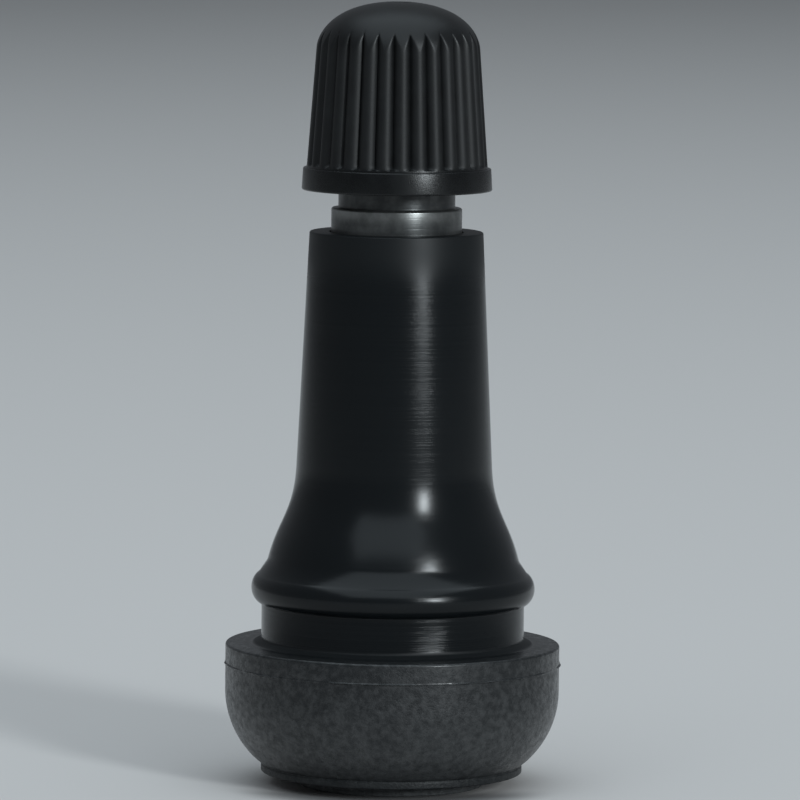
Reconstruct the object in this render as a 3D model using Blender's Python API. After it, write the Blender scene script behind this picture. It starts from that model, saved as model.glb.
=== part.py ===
"""Snap-in rubber tyre valve with a fluted plastic cap and a working valve core.

The valve stands on its rubber base with its axis along +Z and the floor at z = 0. Every piece is round that axis, so
most of them are outlines of (radius, height) points turned once about it. The rubber's heights are measured up from
the floor. The stem's upper end, the core and the cap are measured from the mouth of the stem, where they meet.
"""

import math

import bmesh
import bpy
from mathutils import Vector
from mathutils.geometry import interpolate_bezier

MM = 0.001

# Fineness of the turned shapes
BODY_SEGMENTS = 40
BOWL_POINTS = 7
BULGE_POINTS = 7
BELL_POINTS = 9
STEM_SEGMENTS = 26
CORE_SEGMENTS = 20
PIN_SEGMENTS = 12
SPRING_POINTS_PER_TURN = 10
DOME_RING_SHARES = (0.35, 0.65, 0.87)
FLUTE_FOOT_SHARE = 0.30
RUN_OUT_HALVINGS = 30
MERGE_DISTANCE = 0.0001 * MM
AXIS_MARK_SIZE = 2.0 * MM

# Clearances between neighbours
BOND_GAP = 0.10 * MM
THREAD_GAP = 0.10 * MM
SEAT_GAP = 0.10 * MM
FACE_GAP = 0.10 * MM
RUNNING_GAP = 0.13 * MM
TUBE_CLEARANCE = 0.35 * MM
CUP_CLEARANCE = 0.25 * MM
BODY_CLEARANCE = 0.15 * MM
AIR_GAP = 0.30 * MM

# The three sizes that the valve is known by
VALVE_LENGTH = 43.27 * MM
RIM_GROOVE_RADIUS = 7.68 * MM
CAP_THREAD_RADIUS = 3.85 * MM

# Rubber body, measured up from the floor
FOOT_RADIUS = 5.40 * MM
FOOT_FACE_WIDTH = 1.20 * MM
LIP_HEIGHT = 0.77 * MM
LIP_RADIUS = 7.64 * MM
LIP_THICKNESS = 0.42 * MM
LIP_PROUD = 0.16 * MM
RECESS_DEPTH = 1.77 * MM
RECESS_TAPER = 0.50 * MM
FLANGE_PROUD = 2.09 * MM
BOWL_ARC_RADIUS = 5.43 * MM
BOWL_ARC_END_HEIGHT = 1.62 * MM
BOWL_STRAIGHT_HEIGHT = 1.50 * MM
PARTING_LINE_HEIGHT = 7.14 * MM
FLASH_WIDTH = 0.12 * MM
FLASH_THICKNESS = 0.14 * MM
FLANGE_BAND_HEIGHT = 1.17 * MM
FLANGE_EDGE = 0.14 * MM
FLANGE_FACE_WIDTH = 1.40 * MM
GROOVE_FOOT_RISE = 0.24 * MM
RIM_GROOVE_WIDTH = 2.33 * MM
BULGE_PROUD = 0.60 * MM
BULGE_TOP_DROP = 0.44 * MM
BULGE_DEPTH = 0.75 * MM
BULGE_HALF_HEIGHT = 0.94 * MM
BELL_FOOT_INSET = 0.33 * MM
BELL_FOOT_RISE = 1.59 * MM
BELL_FOOT_LEAN = 0.60 * MM
BELL_FOOT_REACH = 2.40 * MM
BELL_HEIGHT = 5.60 * MM
BELL_TOP_LEAN = 0.13 * MM
BELL_TOP_REACH = 2.80 * MM
NECK_FOOT_RADIUS = 5.71 * MM
NECK_TOP_RADIUS = 5.06 * MM
NECK_EDGE = 0.08 * MM

# Metal stem
AIR_BORE_RADIUS = 1.80 * MM
AIR_HOLE_STEP = 0.70 * MM
STEM_WALL = 1.35 * MM
STEM_FOOT_HEIGHT = 3.77 * MM
STEM_FOOT_PROUD = 0.55 * MM
STEM_FOOT_THICKNESS = 1.30 * MM
STEM_FOOT_TAPER = 0.33 * MM
BARB_COUNT = 3
BARB_HEIGHT = 0.40 * MM
BARB_LENGTH = 1.10 * MM
BARB_SPACING = 2.60 * MM
FIRST_BARB_HEIGHT = 6.97 * MM
COLLAR_INSET = 0.04 * MM
COLLAR_BURIED_LENGTH = 1.60 * MM
COLLAR_SHOWN_LENGTH = 1.40 * MM
COLLAR_EDGE = 0.12 * MM
RELIEF_DEPTH = 0.45 * MM
RELIEF_LENGTH = 1.02 * MM
MOUTH_CHAMFER = 0.45 * MM
CORE_THREAD_RADIUS = 2.60 * MM
CORE_THREAD_RUN_OUT = 0.30 * MM
CHAMBER_STEP = 0.25 * MM
SEAT_LEAD = 0.10 * MM
SEAT_TAIL = 0.20 * MM
BORE_CHAMFER = 0.15 * MM

# Cap
CAP_BORE_DEPTH = 9.43 * MM
CAP_ROOF_THICKNESS = 1.52 * MM
CAP_WALL = 1.32 * MM
CAP_TAPER = 0.48 * MM
CAP_RIM_PROUD = 0.28 * MM
CAP_RIM_TAPER = 0.08 * MM
CAP_RIM_HEIGHT = 1.31 * MM
CAP_RIM_EDGE = 0.08 * MM
CAP_DOME_HEIGHT = 3.12 * MM
CAP_DOME_SQUARENESS = 2.2
CAP_MOUTH_CHAMFER = 0.30 * MM
FLUTE_COUNT = 30
FLUTE_WIDTH = 0.58 * MM
FLUTE_FLOOR_SHARE = 0.45
FLUTE_DEPTH = 0.32 * MM
FLUTE_FOOT_GAP = 0.12 * MM
FIRST_FLUTE_ANGLE = math.radians(-93.0)
GATE_MARK_RADIUS = 0.80 * MM
GATE_MARK_DEPTH = 0.10 * MM
GATE_MARK_TAPER = 0.12 * MM
SEAL_POCKET_STEP = 0.30 * MM
SEAL_POCKET_DEPTH = 1.05 * MM
CAP_SEAL_THICKNESS = 0.80 * MM
CAP_SEAL_HOLE_RADIUS = 1.30 * MM

# Valve core
PIN_TOP_DEPTH = 0.30 * MM
PIN_RADIUS = 0.45 * MM
PIN_BUTTON_PROUD = 0.25 * MM
PIN_BUTTON_LENGTH = 0.90 * MM
PIN_EDGE = 0.14 * MM
PIN_RIVET_PROUD = 0.27 * MM
PIN_RIVET_LENGTH = 0.40 * MM
PIN_COLLAR_LENGTH = 0.60 * MM
PLUG_TOP_DEPTH = 2.50 * MM
PLUG_LENGTH = 3.70 * MM
PLUG_BAR_LENGTH = 2.00 * MM
PLUG_BAR_WIDTH = 2.60 * MM
PLUG_LIP_THICKNESS = 0.50 * MM
PLUG_CAVITY_OVERLAP = 0.40 * MM
PLUG_EDGE = 0.20 * MM
BARREL_LENGTH = 9.30 * MM
BARREL_HEAD_LENGTH = 0.40 * MM
BARREL_HEAD_PROUD = 0.25 * MM
BARREL_NECK_WALL = 0.30 * MM
BARREL_GROOVE_WALL = 0.25 * MM
BARREL_TOP_LAND = 1.20 * MM
BARREL_FOOT_LAND = 0.50 * MM
BARREL_SHOULDER_LENGTH = 0.90 * MM
BARREL_SEAL_LENGTH = 1.30 * MM
SPRING_LENGTH = 5.40 * MM
SPRING_WIRE_RADIUS = 0.14 * MM
SPRING_ACTIVE_TURNS = 6
SPRING_END_PITCH = 0.32 * MM
CUP_LENGTH = 1.10 * MM
CUP_WALL = 0.25 * MM
CUP_FLOOR = 0.45 * MM
GASKET_THICKNESS = 0.80 * MM

# Heights that follow, up from the floor
FLANGE_FACE_HEIGHT = PARTING_LINE_HEIGHT + FLANGE_BAND_HEIGHT
GROOVE_TOP_HEIGHT = FLANGE_FACE_HEIGHT + RIM_GROOVE_WIDTH
CAP_RIM_DEPTH = CAP_BORE_DEPTH - CAP_SEAL_THICKNESS - 2 * FACE_GAP
COLLAR_TOP_HEIGHT = VALVE_LENGTH - CAP_RIM_DEPTH - RELIEF_LENGTH
BODY_HEIGHT = COLLAR_TOP_HEIGHT - COLLAR_SHOWN_LENGTH

# Depths that follow, down from the stem's mouth
PLUG_FOOT_DEPTH = PLUG_TOP_DEPTH + PLUG_LENGTH
BARREL_BODY_DEPTH = PLUG_FOOT_DEPTH + FACE_GAP
BARREL_HEAD_DEPTH = PLUG_FOOT_DEPTH - PLUG_LIP_THICKNESS - FACE_GAP
BARREL_TOP_DEPTH = BARREL_HEAD_DEPTH - BARREL_HEAD_LENGTH
BARREL_FOOT_DEPTH = BARREL_TOP_DEPTH + BARREL_LENGTH
BARREL_SEAL_DEPTH = BARREL_BODY_DEPTH + BARREL_TOP_LAND + FACE_GAP
SEAT_DEPTH = BARREL_SEAL_DEPTH - SEAT_LEAD
SEAT_LENGTH = SEAT_LEAD + BARREL_SEAL_LENGTH + SEAT_TAIL
SPRING_SEAT_DEPTH = BARREL_FOOT_DEPTH - BARREL_SHOULDER_LENGTH
PIN_COLLAR_DEPTH = SPRING_SEAT_DEPTH - SPRING_LENGTH - 2 * FACE_GAP
GASKET_TOP_DEPTH = BARREL_FOOT_DEPTH + FACE_GAP
CUP_FOOT_DEPTH = GASKET_TOP_DEPTH + GASKET_THICKNESS + FACE_GAP + CUP_FLOOR

# Radii that follow
FLANGE_RADIUS = RIM_GROOVE_RADIUS + FLANGE_PROUD
BULGE_RADIUS = RIM_GROOVE_RADIUS + BULGE_PROUD
BELL_FOOT_RADIUS = RIM_GROOVE_RADIUS - BELL_FOOT_INSET
STEM_TUBE_RADIUS = AIR_BORE_RADIUS + STEM_WALL
COLLAR_RADIUS = CAP_THREAD_RADIUS - COLLAR_INSET
RELIEF_RADIUS = CAP_THREAD_RADIUS - RELIEF_DEPTH
CHAMBER_RADIUS = CORE_THREAD_RADIUS - CHAMBER_STEP
CAP_BORE_RADIUS = CAP_THREAD_RADIUS + THREAD_GAP
CAP_BODY_RADIUS = CAP_BORE_RADIUS + CAP_WALL
CAP_SHOULDER_RADIUS = CAP_BODY_RADIUS - CAP_TAPER
SEAL_POCKET_RADIUS = CAP_BORE_RADIUS - SEAL_POCKET_STEP
SPRING_RADIUS = PIN_RADIUS + RUNNING_GAP + SPRING_WIRE_RADIUS
BARREL_BORE_RADIUS = SPRING_RADIUS + SPRING_WIRE_RADIUS + RUNNING_GAP
BARREL_NECK_RADIUS = BARREL_BORE_RADIUS + BARREL_NECK_WALL
BARREL_HEAD_RADIUS = BARREL_NECK_RADIUS + BARREL_HEAD_PROUD
BARREL_GROOVE_RADIUS = BARREL_BORE_RADIUS + BARREL_GROOVE_WALL
BARREL_BODY_RADIUS = AIR_BORE_RADIUS - BODY_CLEARANCE
BARREL_TUBE_RADIUS = AIR_BORE_RADIUS - TUBE_CLEARANCE
CUP_RADIUS = AIR_BORE_RADIUS - CUP_CLEARANCE


def clear_scene():
    """Empties the file, so that the model is all that is in it."""
    for thing in list(bpy.data.objects):
        bpy.data.objects.remove(thing, do_unlink=True)


def make_material(name, colour, roughness, metallic=0.0):
    """A plain Principled surface in one colour."""
    material = bpy.data.materials.new(name)
    material.use_nodes = True
    shader = material.node_tree.nodes["Principled BSDF"]
    shader.inputs["Base Color"].default_value = (*colour, 1.0)
    shader.inputs["Roughness"].default_value = roughness
    shader.inputs["Metallic"].default_value = metallic
    material.diffuse_color = (*colour, 1.0)
    return material


def make_frame(name, height, parent=None):
    """An empty on the valve's axis, which carries pieces that belong together."""
    frame = bpy.data.objects.new(name, None)
    frame.empty_display_size = AXIS_MARK_SIZE
    frame.location = (0.0, 0.0, height)
    frame.parent = parent
    bpy.context.collection.objects.link(frame)
    return frame


def add_object(name, data, material, parent=None):
    """Links one named piece, with its material, under its frame."""
    piece = bpy.data.objects.new(name, data)
    data.materials.append(material)
    piece.parent = parent
    bpy.context.collection.objects.link(piece)
    return piece


def add_mesh_object(name, bm, material, parent=None, sharp_angle=35.0):
    """Turns a finished bmesh into a piece with outward faces and soft shading."""
    bmesh.ops.recalc_face_normals(bm, faces=bm.faces)
    mesh = bpy.data.meshes.new(name)
    bm.to_mesh(mesh)
    bm.free()
    mesh.shade_smooth()
    mesh.set_sharp_from_angle(angle=math.radians(sharp_angle))
    return add_object(name, mesh, material, parent)


def turned(name, outline, segments, material, parent=None):
    """Turns a closed outline of (radius, height) points once about the axis.

    An outline whose ends lie on the axis makes a solid piece, and one that stays clear of it makes a ring.
    """
    bm = bmesh.new()
    points = [bm.verts.new((radius, 0.0, height)) for radius, height in outline]
    for start, end in zip(points, points[1:]):
        bm.edges.new((start, end))
    if min(radius for radius, _ in outline) > 0.0:
        bm.edges.new((points[-1], points[0]))
    bmesh.ops.spin(
        bm, geom=bm.verts[:] + bm.edges[:], cent=(0.0, 0.0, 0.0), axis=(0.0, 0.0, 1.0),
        angle=2 * math.pi, steps=segments, use_merge=True)
    bmesh.ops.remove_doubles(bm, verts=bm.verts, dist=MERGE_DISTANCE)
    return add_mesh_object(name, bm, material, parent)


def arc(centre, radius, start, end, count):
    """Points along a circular arc in the (radius, height) plane, angles in radians from outward."""
    steps = [start + (end - start) * index / (count - 1) for index in range(count)]
    return [(centre[0] + radius * math.cos(a), centre[1] + radius * math.sin(a)) for a in steps]


def bezier(start, start_handle, end_handle, end, count):
    """Points along one Bezier stretch in the (radius, height) plane."""
    knots = [Vector((radius, height, 0.0)) for radius, height in (start, start_handle, end_handle, end)]
    return [(point.x, point.y) for point in interpolate_bezier(*knots, count)]


def stem_outline_in_rubber(grow):
    """The stem's buried outside from its foot to its collar, grown by a clearance on every side."""
    tube = STEM_TUBE_RADIUS + grow
    foot = STEM_TUBE_RADIUS + STEM_FOOT_PROUD + grow
    foot_top = STEM_FOOT_HEIGHT + STEM_FOOT_THICKNESS
    collar_foot = BODY_HEIGHT - COLLAR_BURIED_LENGTH
    cone = COLLAR_RADIUS - STEM_TUBE_RADIUS
    outline = [
        (foot, STEM_FOOT_HEIGHT - grow),
        (foot, foot_top),
        (tube, foot_top + STEM_FOOT_TAPER + grow),
    ]
    for index in range(BARB_COUNT):
        base = FIRST_BARB_HEIGHT + index * BARB_SPACING
        outline.append((tube, base - grow))
        outline.append((tube + BARB_HEIGHT, base - grow))
        outline.append((tube, base + BARB_LENGTH))
    outline.append((tube, collar_foot - grow))
    outline.append((COLLAR_RADIUS + grow, collar_foot + cone - grow))
    return outline


def rubber_outline():
    """The rubber moulding's section, up the outside and back down round the stem."""
    bowl_top = PARTING_LINE_HEIGHT - FLASH_THICKNESS / 2 - BOWL_STRAIGHT_HEIGHT
    bowl_centre = (FLANGE_RADIUS - BOWL_ARC_RADIUS, bowl_top)
    bowl_start = -math.asin((bowl_top - BOWL_ARC_END_HEIGHT) / BOWL_ARC_RADIUS)
    foot = [
        (FOOT_RADIUS, 0.0),
        (FOOT_RADIUS, LIP_HEIGHT),
        (LIP_RADIUS, LIP_HEIGHT),
        (LIP_RADIUS, LIP_HEIGHT + LIP_THICKNESS),
        (LIP_RADIUS - LIP_PROUD, LIP_HEIGHT + LIP_THICKNESS),
    ]
    bowl = arc(bowl_centre, BOWL_ARC_RADIUS, bowl_start, 0.0, BOWL_POINTS)
    band = [
        (FLANGE_RADIUS, PARTING_LINE_HEIGHT - FLASH_THICKNESS / 2),
        (FLANGE_RADIUS + FLASH_WIDTH, PARTING_LINE_HEIGHT),
        (FLANGE_RADIUS, PARTING_LINE_HEIGHT + FLASH_THICKNESS / 2),
        (FLANGE_RADIUS, FLANGE_FACE_HEIGHT - FLANGE_EDGE),
        (FLANGE_RADIUS - FLANGE_EDGE, FLANGE_FACE_HEIGHT),
    ]
    face_inner_radius = FLANGE_RADIUS - FLANGE_EDGE - FLANGE_FACE_WIDTH
    groove = [
        (face_inner_radius, FLANGE_FACE_HEIGHT),
        ((face_inner_radius + 2 * RIM_GROOVE_RADIUS) / 3, FLANGE_FACE_HEIGHT + GROOVE_FOOT_RISE / 3),
        (RIM_GROOVE_RADIUS, FLANGE_FACE_HEIGHT + GROOVE_FOOT_RISE),
    ]
    return foot + bowl + band + groove + bulge_and_bell() + neck_and_bore()


def bulge_and_bell():
    """The bead that snaps through the rim hole, and the bell that rises from it to the neck."""
    start = math.acos(1.0 - BULGE_PROUD / BULGE_DEPTH)
    end = math.acos(1.0 - BULGE_TOP_DROP / BULGE_DEPTH)
    middle = GROOVE_TOP_HEIGHT + BULGE_HALF_HEIGHT * math.sin(start)
    bulge = []
    for index in range(BULGE_POINTS):
        angle = -start + (start + end) * index / (BULGE_POINTS - 1)
        radius = BULGE_RADIUS - BULGE_DEPTH * (1.0 - math.cos(angle))
        bulge.append((radius, middle + BULGE_HALF_HEIGHT * math.sin(angle)))
    foot = middle + BELL_FOOT_RISE
    top = foot + BELL_HEIGHT
    bell = bezier(
        (BELL_FOOT_RADIUS, foot),
        (BELL_FOOT_RADIUS - BELL_FOOT_LEAN, foot + BELL_FOOT_REACH),
        (NECK_FOOT_RADIUS + BELL_TOP_LEAN, top - BELL_TOP_REACH),
        (NECK_FOOT_RADIUS, top),
        BELL_POINTS)
    return bulge + bell


def neck_and_bore():
    """The neck's top edge, then the inside from the collar down to the hollow foot."""
    collar = COLLAR_RADIUS + BOND_GAP
    recess_radius = FOOT_RADIUS - FOOT_FACE_WIDTH
    air_hole_radius = AIR_BORE_RADIUS + AIR_HOLE_STEP
    return [
        (NECK_TOP_RADIUS, BODY_HEIGHT - NECK_EDGE),
        (NECK_TOP_RADIUS - NECK_EDGE, BODY_HEIGHT),
        (collar, BODY_HEIGHT),
        *reversed(stem_outline_in_rubber(BOND_GAP)),
        (air_hole_radius, STEM_FOOT_HEIGHT - BOND_GAP),
        (air_hole_radius, RECESS_DEPTH),
        (recess_radius - RECESS_TAPER, RECESS_DEPTH),
        (recess_radius, 0.0),
    ]


def seat_radius(depth):
    """The radius of the tapered seat in the stem at a depth below the mouth."""
    share = (SEAT_DEPTH + SEAT_LENGTH - depth) / SEAT_LENGTH
    return AIR_BORE_RADIUS + (CHAMBER_RADIUS - AIR_BORE_RADIUS) * share


def stem_outline():
    """The stem's section, up the outside, over the mouth and back down the bore."""
    thread_foot = COLLAR_TOP_HEIGHT + RELIEF_LENGTH
    thread_depth = PLUG_FOOT_DEPTH + CORE_THREAD_RUN_OUT
    outside = [
        *stem_outline_in_rubber(0.0),
        (COLLAR_RADIUS, COLLAR_TOP_HEIGHT - COLLAR_EDGE),
        (COLLAR_RADIUS - COLLAR_EDGE, COLLAR_TOP_HEIGHT),
        (RELIEF_RADIUS, COLLAR_TOP_HEIGHT),
        (RELIEF_RADIUS, thread_foot),
        (CAP_THREAD_RADIUS, thread_foot + RELIEF_DEPTH),
        (CAP_THREAD_RADIUS, VALVE_LENGTH - MOUTH_CHAMFER),
        (CAP_THREAD_RADIUS - MOUTH_CHAMFER, VALVE_LENGTH),
    ]
    inside = [
        (CORE_THREAD_RADIUS + BORE_CHAMFER, VALVE_LENGTH),
        (CORE_THREAD_RADIUS, VALVE_LENGTH - BORE_CHAMFER),
        (CORE_THREAD_RADIUS, VALVE_LENGTH - thread_depth),
        (CHAMBER_RADIUS, VALVE_LENGTH - thread_depth - CHAMBER_STEP),
        (CHAMBER_RADIUS, VALVE_LENGTH - SEAT_DEPTH),
        (AIR_BORE_RADIUS, VALVE_LENGTH - SEAT_DEPTH - SEAT_LENGTH),
        (AIR_BORE_RADIUS, STEM_FOOT_HEIGHT),
    ]
    return outside + inside


def cap_side_radius(height):
    """The cap's tapered side at a height above its rim, before the dome rounds it off."""
    shoulder = CAP_BORE_DEPTH + CAP_ROOF_THICKNESS - CAP_DOME_HEIGHT
    share = (height - CAP_RIM_HEIGHT) / (shoulder - CAP_RIM_HEIGHT)
    return CAP_BODY_RADIUS + (CAP_SHOULDER_RADIUS - CAP_BODY_RADIUS) * share


def cap_outer_radius(height):
    """The cap's side and dome: a straight taper that a squared ellipse closes."""
    shoulder = CAP_BORE_DEPTH + CAP_ROOF_THICKNESS - CAP_DOME_HEIGHT
    if height <= shoulder:
        return cap_side_radius(height)
    rise = min((height - shoulder) / CAP_DOME_HEIGHT, 1.0)
    return CAP_SHOULDER_RADIUS * (1.0 - rise ** CAP_DOME_SQUARENESS) ** (1.0 / CAP_DOME_SQUARENESS)


def flute_floor_radius(height):
    """The bottom of a flute, cut parallel to the side, which runs out where the dome meets it."""
    foot = CAP_RIM_HEIGHT + FLUTE_FOOT_GAP
    climb = min(max((height - foot) / FLUTE_DEPTH, 0.0), 1.0)
    depth = FLUTE_DEPTH * math.sqrt(climb * (2.0 - climb))
    return min(cap_side_radius(height) - depth, cap_outer_radius(height))


def flute_run_out_height():
    """The height on the dome where the flutes end, found by halving."""
    low = CAP_BORE_DEPTH + CAP_ROOF_THICKNESS - CAP_DOME_HEIGHT
    high = CAP_BORE_DEPTH + CAP_ROOF_THICKNESS
    for _ in range(RUN_OUT_HALVINGS):
        middle = (low + high) / 2
        if cap_outer_radius(middle) > cap_side_radius(middle) - FLUTE_DEPTH:
            low = middle
        else:
            high = middle
    return high


def round_ring(bm, count, radius, height):
    """A level ring of evenly spaced points that starts at the first flute."""
    angles = [FIRST_FLUTE_ANGLE + 2 * math.pi * index / count for index in range(count)]
    return [bm.verts.new((radius * math.cos(a), radius * math.sin(a), height)) for a in angles]


def fluted_ring(bm, height):
    """A level ring whose points step in at each flute."""
    outer = cap_outer_radius(height)
    floor = flute_floor_radius(height)
    half_width = FLUTE_WIDTH / 2 / CAP_BODY_RADIUS
    pitch = 2 * math.pi / FLUTE_COUNT
    ring = []
    for index in range(FLUTE_COUNT):
        centre = FIRST_FLUTE_ANGLE + index * pitch
        for angle, radius in (
                (-FLUTE_FLOOR_SHARE * half_width, floor), (FLUTE_FLOOR_SHARE * half_width, floor),
                (half_width, outer), (pitch - half_width, outer)):
            turn = centre + angle
            ring.append(bm.verts.new((radius * math.cos(turn), radius * math.sin(turn), height)))
    return ring


def join_rings(bm, first, second):
    """Fills the strip between two rings; one may have a whole number of times the other's points."""
    fine, coarse = (first, second) if len(first) >= len(second) else (second, first)
    ratio = len(fine) // len(coarse)
    for index, corner in enumerate(coarse):
        next_corner = coarse[(index + 1) % len(coarse)]
        if ratio == 1:
            bm.faces.new((fine[index], fine[(index + 1) % len(fine)], next_corner, corner))
            continue
        for step in range(ratio):
            start = fine[(index * ratio + step) % len(fine)]
            end = fine[(index * ratio + step + 1) % len(fine)]
            bm.faces.new((start, end, corner if step < ratio // 2 else next_corner))
        middle = fine[(index * ratio + ratio // 2) % len(fine)]
        bm.faces.new((middle, next_corner, corner))


def make_cap(material, parent):
    """The cap: a rim band, fluted sides and a dome, hollowed for the thread and the seal."""
    top = CAP_BORE_DEPTH + CAP_ROOF_THICKNESS
    shoulder = top - CAP_DOME_HEIGHT
    flute_foot = CAP_RIM_HEIGHT + FLUTE_FOOT_GAP
    run_out = flute_run_out_height()
    rim_radius = CAP_BODY_RADIUS + CAP_RIM_PROUD
    rim_top_radius = rim_radius - CAP_RIM_TAPER
    bm = bmesh.new()

    rings = [
        round_ring(bm, FLUTE_COUNT, CAP_BORE_RADIUS + CAP_MOUTH_CHAMFER, 0.0),
        round_ring(bm, 2 * FLUTE_COUNT, rim_radius - CAP_RIM_EDGE, 0.0),
        round_ring(bm, 2 * FLUTE_COUNT, rim_radius, CAP_RIM_EDGE),
        round_ring(bm, 2 * FLUTE_COUNT, rim_top_radius, CAP_RIM_HEIGHT - CAP_RIM_EDGE),
        round_ring(bm, 2 * FLUTE_COUNT, rim_top_radius - CAP_RIM_EDGE, CAP_RIM_HEIGHT),
    ]
    fluted_heights = [
        CAP_RIM_HEIGHT,
        flute_foot,
        flute_foot + FLUTE_FOOT_SHARE * FLUTE_DEPTH,
        flute_foot + FLUTE_DEPTH,
        shoulder,
        (2 * shoulder + run_out) / 3,
        (shoulder + 2 * run_out) / 3,
        run_out,
    ]
    rings += [fluted_ring(bm, height) for height in fluted_heights]
    for share in DOME_RING_SHARES:
        height = run_out + (top - run_out) * share
        rings.append(round_ring(bm, FLUTE_COUNT, cap_outer_radius(height), height))
    rings.append(round_ring(bm, FLUTE_COUNT, GATE_MARK_RADIUS, top))
    rings.append(round_ring(bm, FLUTE_COUNT, GATE_MARK_RADIUS - GATE_MARK_TAPER, top - GATE_MARK_DEPTH))
    for lower, upper in zip(rings, rings[1:]):
        join_rings(bm, lower, upper)
    bm.faces.new(rings[-1])

    pocket_foot = CAP_BORE_DEPTH - SEAL_POCKET_DEPTH
    hollow = [
        rings[0],
        round_ring(bm, FLUTE_COUNT, CAP_BORE_RADIUS, CAP_MOUTH_CHAMFER),
        round_ring(bm, FLUTE_COUNT, CAP_BORE_RADIUS, pocket_foot - SEAL_POCKET_STEP),
        round_ring(bm, FLUTE_COUNT, SEAL_POCKET_RADIUS, pocket_foot),
        round_ring(bm, FLUTE_COUNT, SEAL_POCKET_RADIUS, CAP_BORE_DEPTH),
    ]
    for lower, upper in zip(hollow, hollow[1:]):
        join_rings(bm, lower, upper)
    bm.faces.new(hollow[-1])
    return add_mesh_object("valve_cap", bm, material, parent)


def make_cap_seal(material, parent):
    """The flat washer in the cap's roof, which closes on the stem's mouth."""
    outer = SEAL_POCKET_RADIUS - FACE_GAP
    top = CAP_BORE_DEPTH - FACE_GAP
    outline = [
        (outer, top - CAP_SEAL_THICKNESS),
        (outer, top),
        (CAP_SEAL_HOLE_RADIUS, top),
        (CAP_SEAL_HOLE_RADIUS, top - CAP_SEAL_THICKNESS),
    ]
    return turned("cap_seal", outline, CORE_SEGMENTS, material, parent)


def make_plug(material, parent):
    """The core's headpiece: a threaded ring with an inner lip, milled above to a flat bar for the key."""
    outer = CORE_THREAD_RADIUS - THREAD_GAP
    cavity = BARREL_HEAD_RADIUS + RUNNING_GAP
    lip = BARREL_NECK_RADIUS + RUNNING_GAP
    bar_foot_depth = PLUG_TOP_DEPTH + PLUG_BAR_LENGTH
    cavity_top = -bar_foot_depth + PLUG_CAVITY_OVERLAP
    outline = [
        (outer - PLUG_EDGE, -PLUG_FOOT_DEPTH),
        (outer, -PLUG_FOOT_DEPTH + PLUG_EDGE),
        (outer, -PLUG_TOP_DEPTH - PLUG_EDGE),
        (outer - PLUG_EDGE, -PLUG_TOP_DEPTH),
        (PIN_RADIUS + RUNNING_GAP, -PLUG_TOP_DEPTH),
        (PIN_RADIUS + RUNNING_GAP, cavity_top),
        (cavity, cavity_top),
        (cavity, -PLUG_FOOT_DEPTH + PLUG_LIP_THICKNESS),
        (lip, -PLUG_FOOT_DEPTH + PLUG_LIP_THICKNESS),
        (lip, -PLUG_FOOT_DEPTH),
    ]
    plug = turned("core_plug", outline, CORE_SEGMENTS, material, parent)
    for side in (-1, 1):
        cutter = make_milling_cutter(f"plug_cutter_{side + 2}", side, bar_foot_depth, outer, parent)
        cut = plug.modifiers.new(cutter.name, "BOOLEAN")
        cut.operation = "DIFFERENCE"
        cut.solver = "EXACT"
        cut.object = cutter
    return plug


def make_milling_cutter(name, side, foot_depth, reach, parent):
    """A hidden block that mills away one side of the plug down to a depth."""
    bm = bmesh.new()
    bmesh.ops.create_cube(bm, size=1.0)
    width = 2 * reach
    height = 2 * foot_depth
    bmesh.ops.scale(bm, vec=(3 * reach, width, height), verts=bm.verts)
    shift = (0.0, side * (PLUG_BAR_WIDTH / 2 + width / 2), height / 2 - foot_depth)
    bmesh.ops.translate(bm, vec=shift, verts=bm.verts)
    mesh = bpy.data.meshes.new(name)
    bm.to_mesh(mesh)
    bm.free()
    cutter = bpy.data.objects.new(name, mesh)
    cutter.parent = parent
    cutter.hide_render = True
    cutter.display_type = "WIRE"
    bpy.context.collection.objects.link(cutter)
    return cutter


def make_barrel(material, parent):
    """The barrel: a head held in the plug, a neck, a body grooved for the seal, and a tube below."""
    groove_top = BARREL_SEAL_DEPTH - FACE_GAP
    groove_foot = BARREL_SEAL_DEPTH + BARREL_SEAL_LENGTH + FACE_GAP
    body_foot = groove_foot + BARREL_FOOT_LAND
    shoulder_hole = PIN_RADIUS + AIR_GAP
    outline = [
        (BARREL_TUBE_RADIUS, -BARREL_FOOT_DEPTH),
        (BARREL_TUBE_RADIUS, -body_foot - BARREL_BODY_RADIUS + BARREL_TUBE_RADIUS),
        (BARREL_BODY_RADIUS, -body_foot),
        (BARREL_BODY_RADIUS, -groove_foot),
        (BARREL_GROOVE_RADIUS, -groove_foot),
        (BARREL_GROOVE_RADIUS, -groove_top),
        (BARREL_BODY_RADIUS, -groove_top),
        (BARREL_BODY_RADIUS, -BARREL_BODY_DEPTH),
        (BARREL_NECK_RADIUS, -BARREL_BODY_DEPTH),
        (BARREL_NECK_RADIUS, -BARREL_HEAD_DEPTH),
        (BARREL_HEAD_RADIUS, -BARREL_HEAD_DEPTH),
        (BARREL_HEAD_RADIUS, -BARREL_TOP_DEPTH),
        (BARREL_BORE_RADIUS, -BARREL_TOP_DEPTH),
        (BARREL_BORE_RADIUS, -SPRING_SEAT_DEPTH),
        (shoulder_hole, -SPRING_SEAT_DEPTH),
        (shoulder_hole, -BARREL_FOOT_DEPTH),
    ]
    return turned("core_barrel", outline, CORE_SEGMENTS, material, parent)


def make_barrel_seal(material, parent):
    """The tapered ring in the barrel's groove, shaped to the seat in the stem."""
    top = BARREL_SEAL_DEPTH
    foot = top + BARREL_SEAL_LENGTH
    inner = BARREL_GROOVE_RADIUS + FACE_GAP
    outline = [
        (seat_radius(foot) - SEAT_GAP, -foot),
        (seat_radius(top) - SEAT_GAP, -top),
        (inner, -top),
        (inner, -foot),
    ]
    return turned("core_barrel_seal", outline, CORE_SEGMENTS, material, parent)


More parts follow.
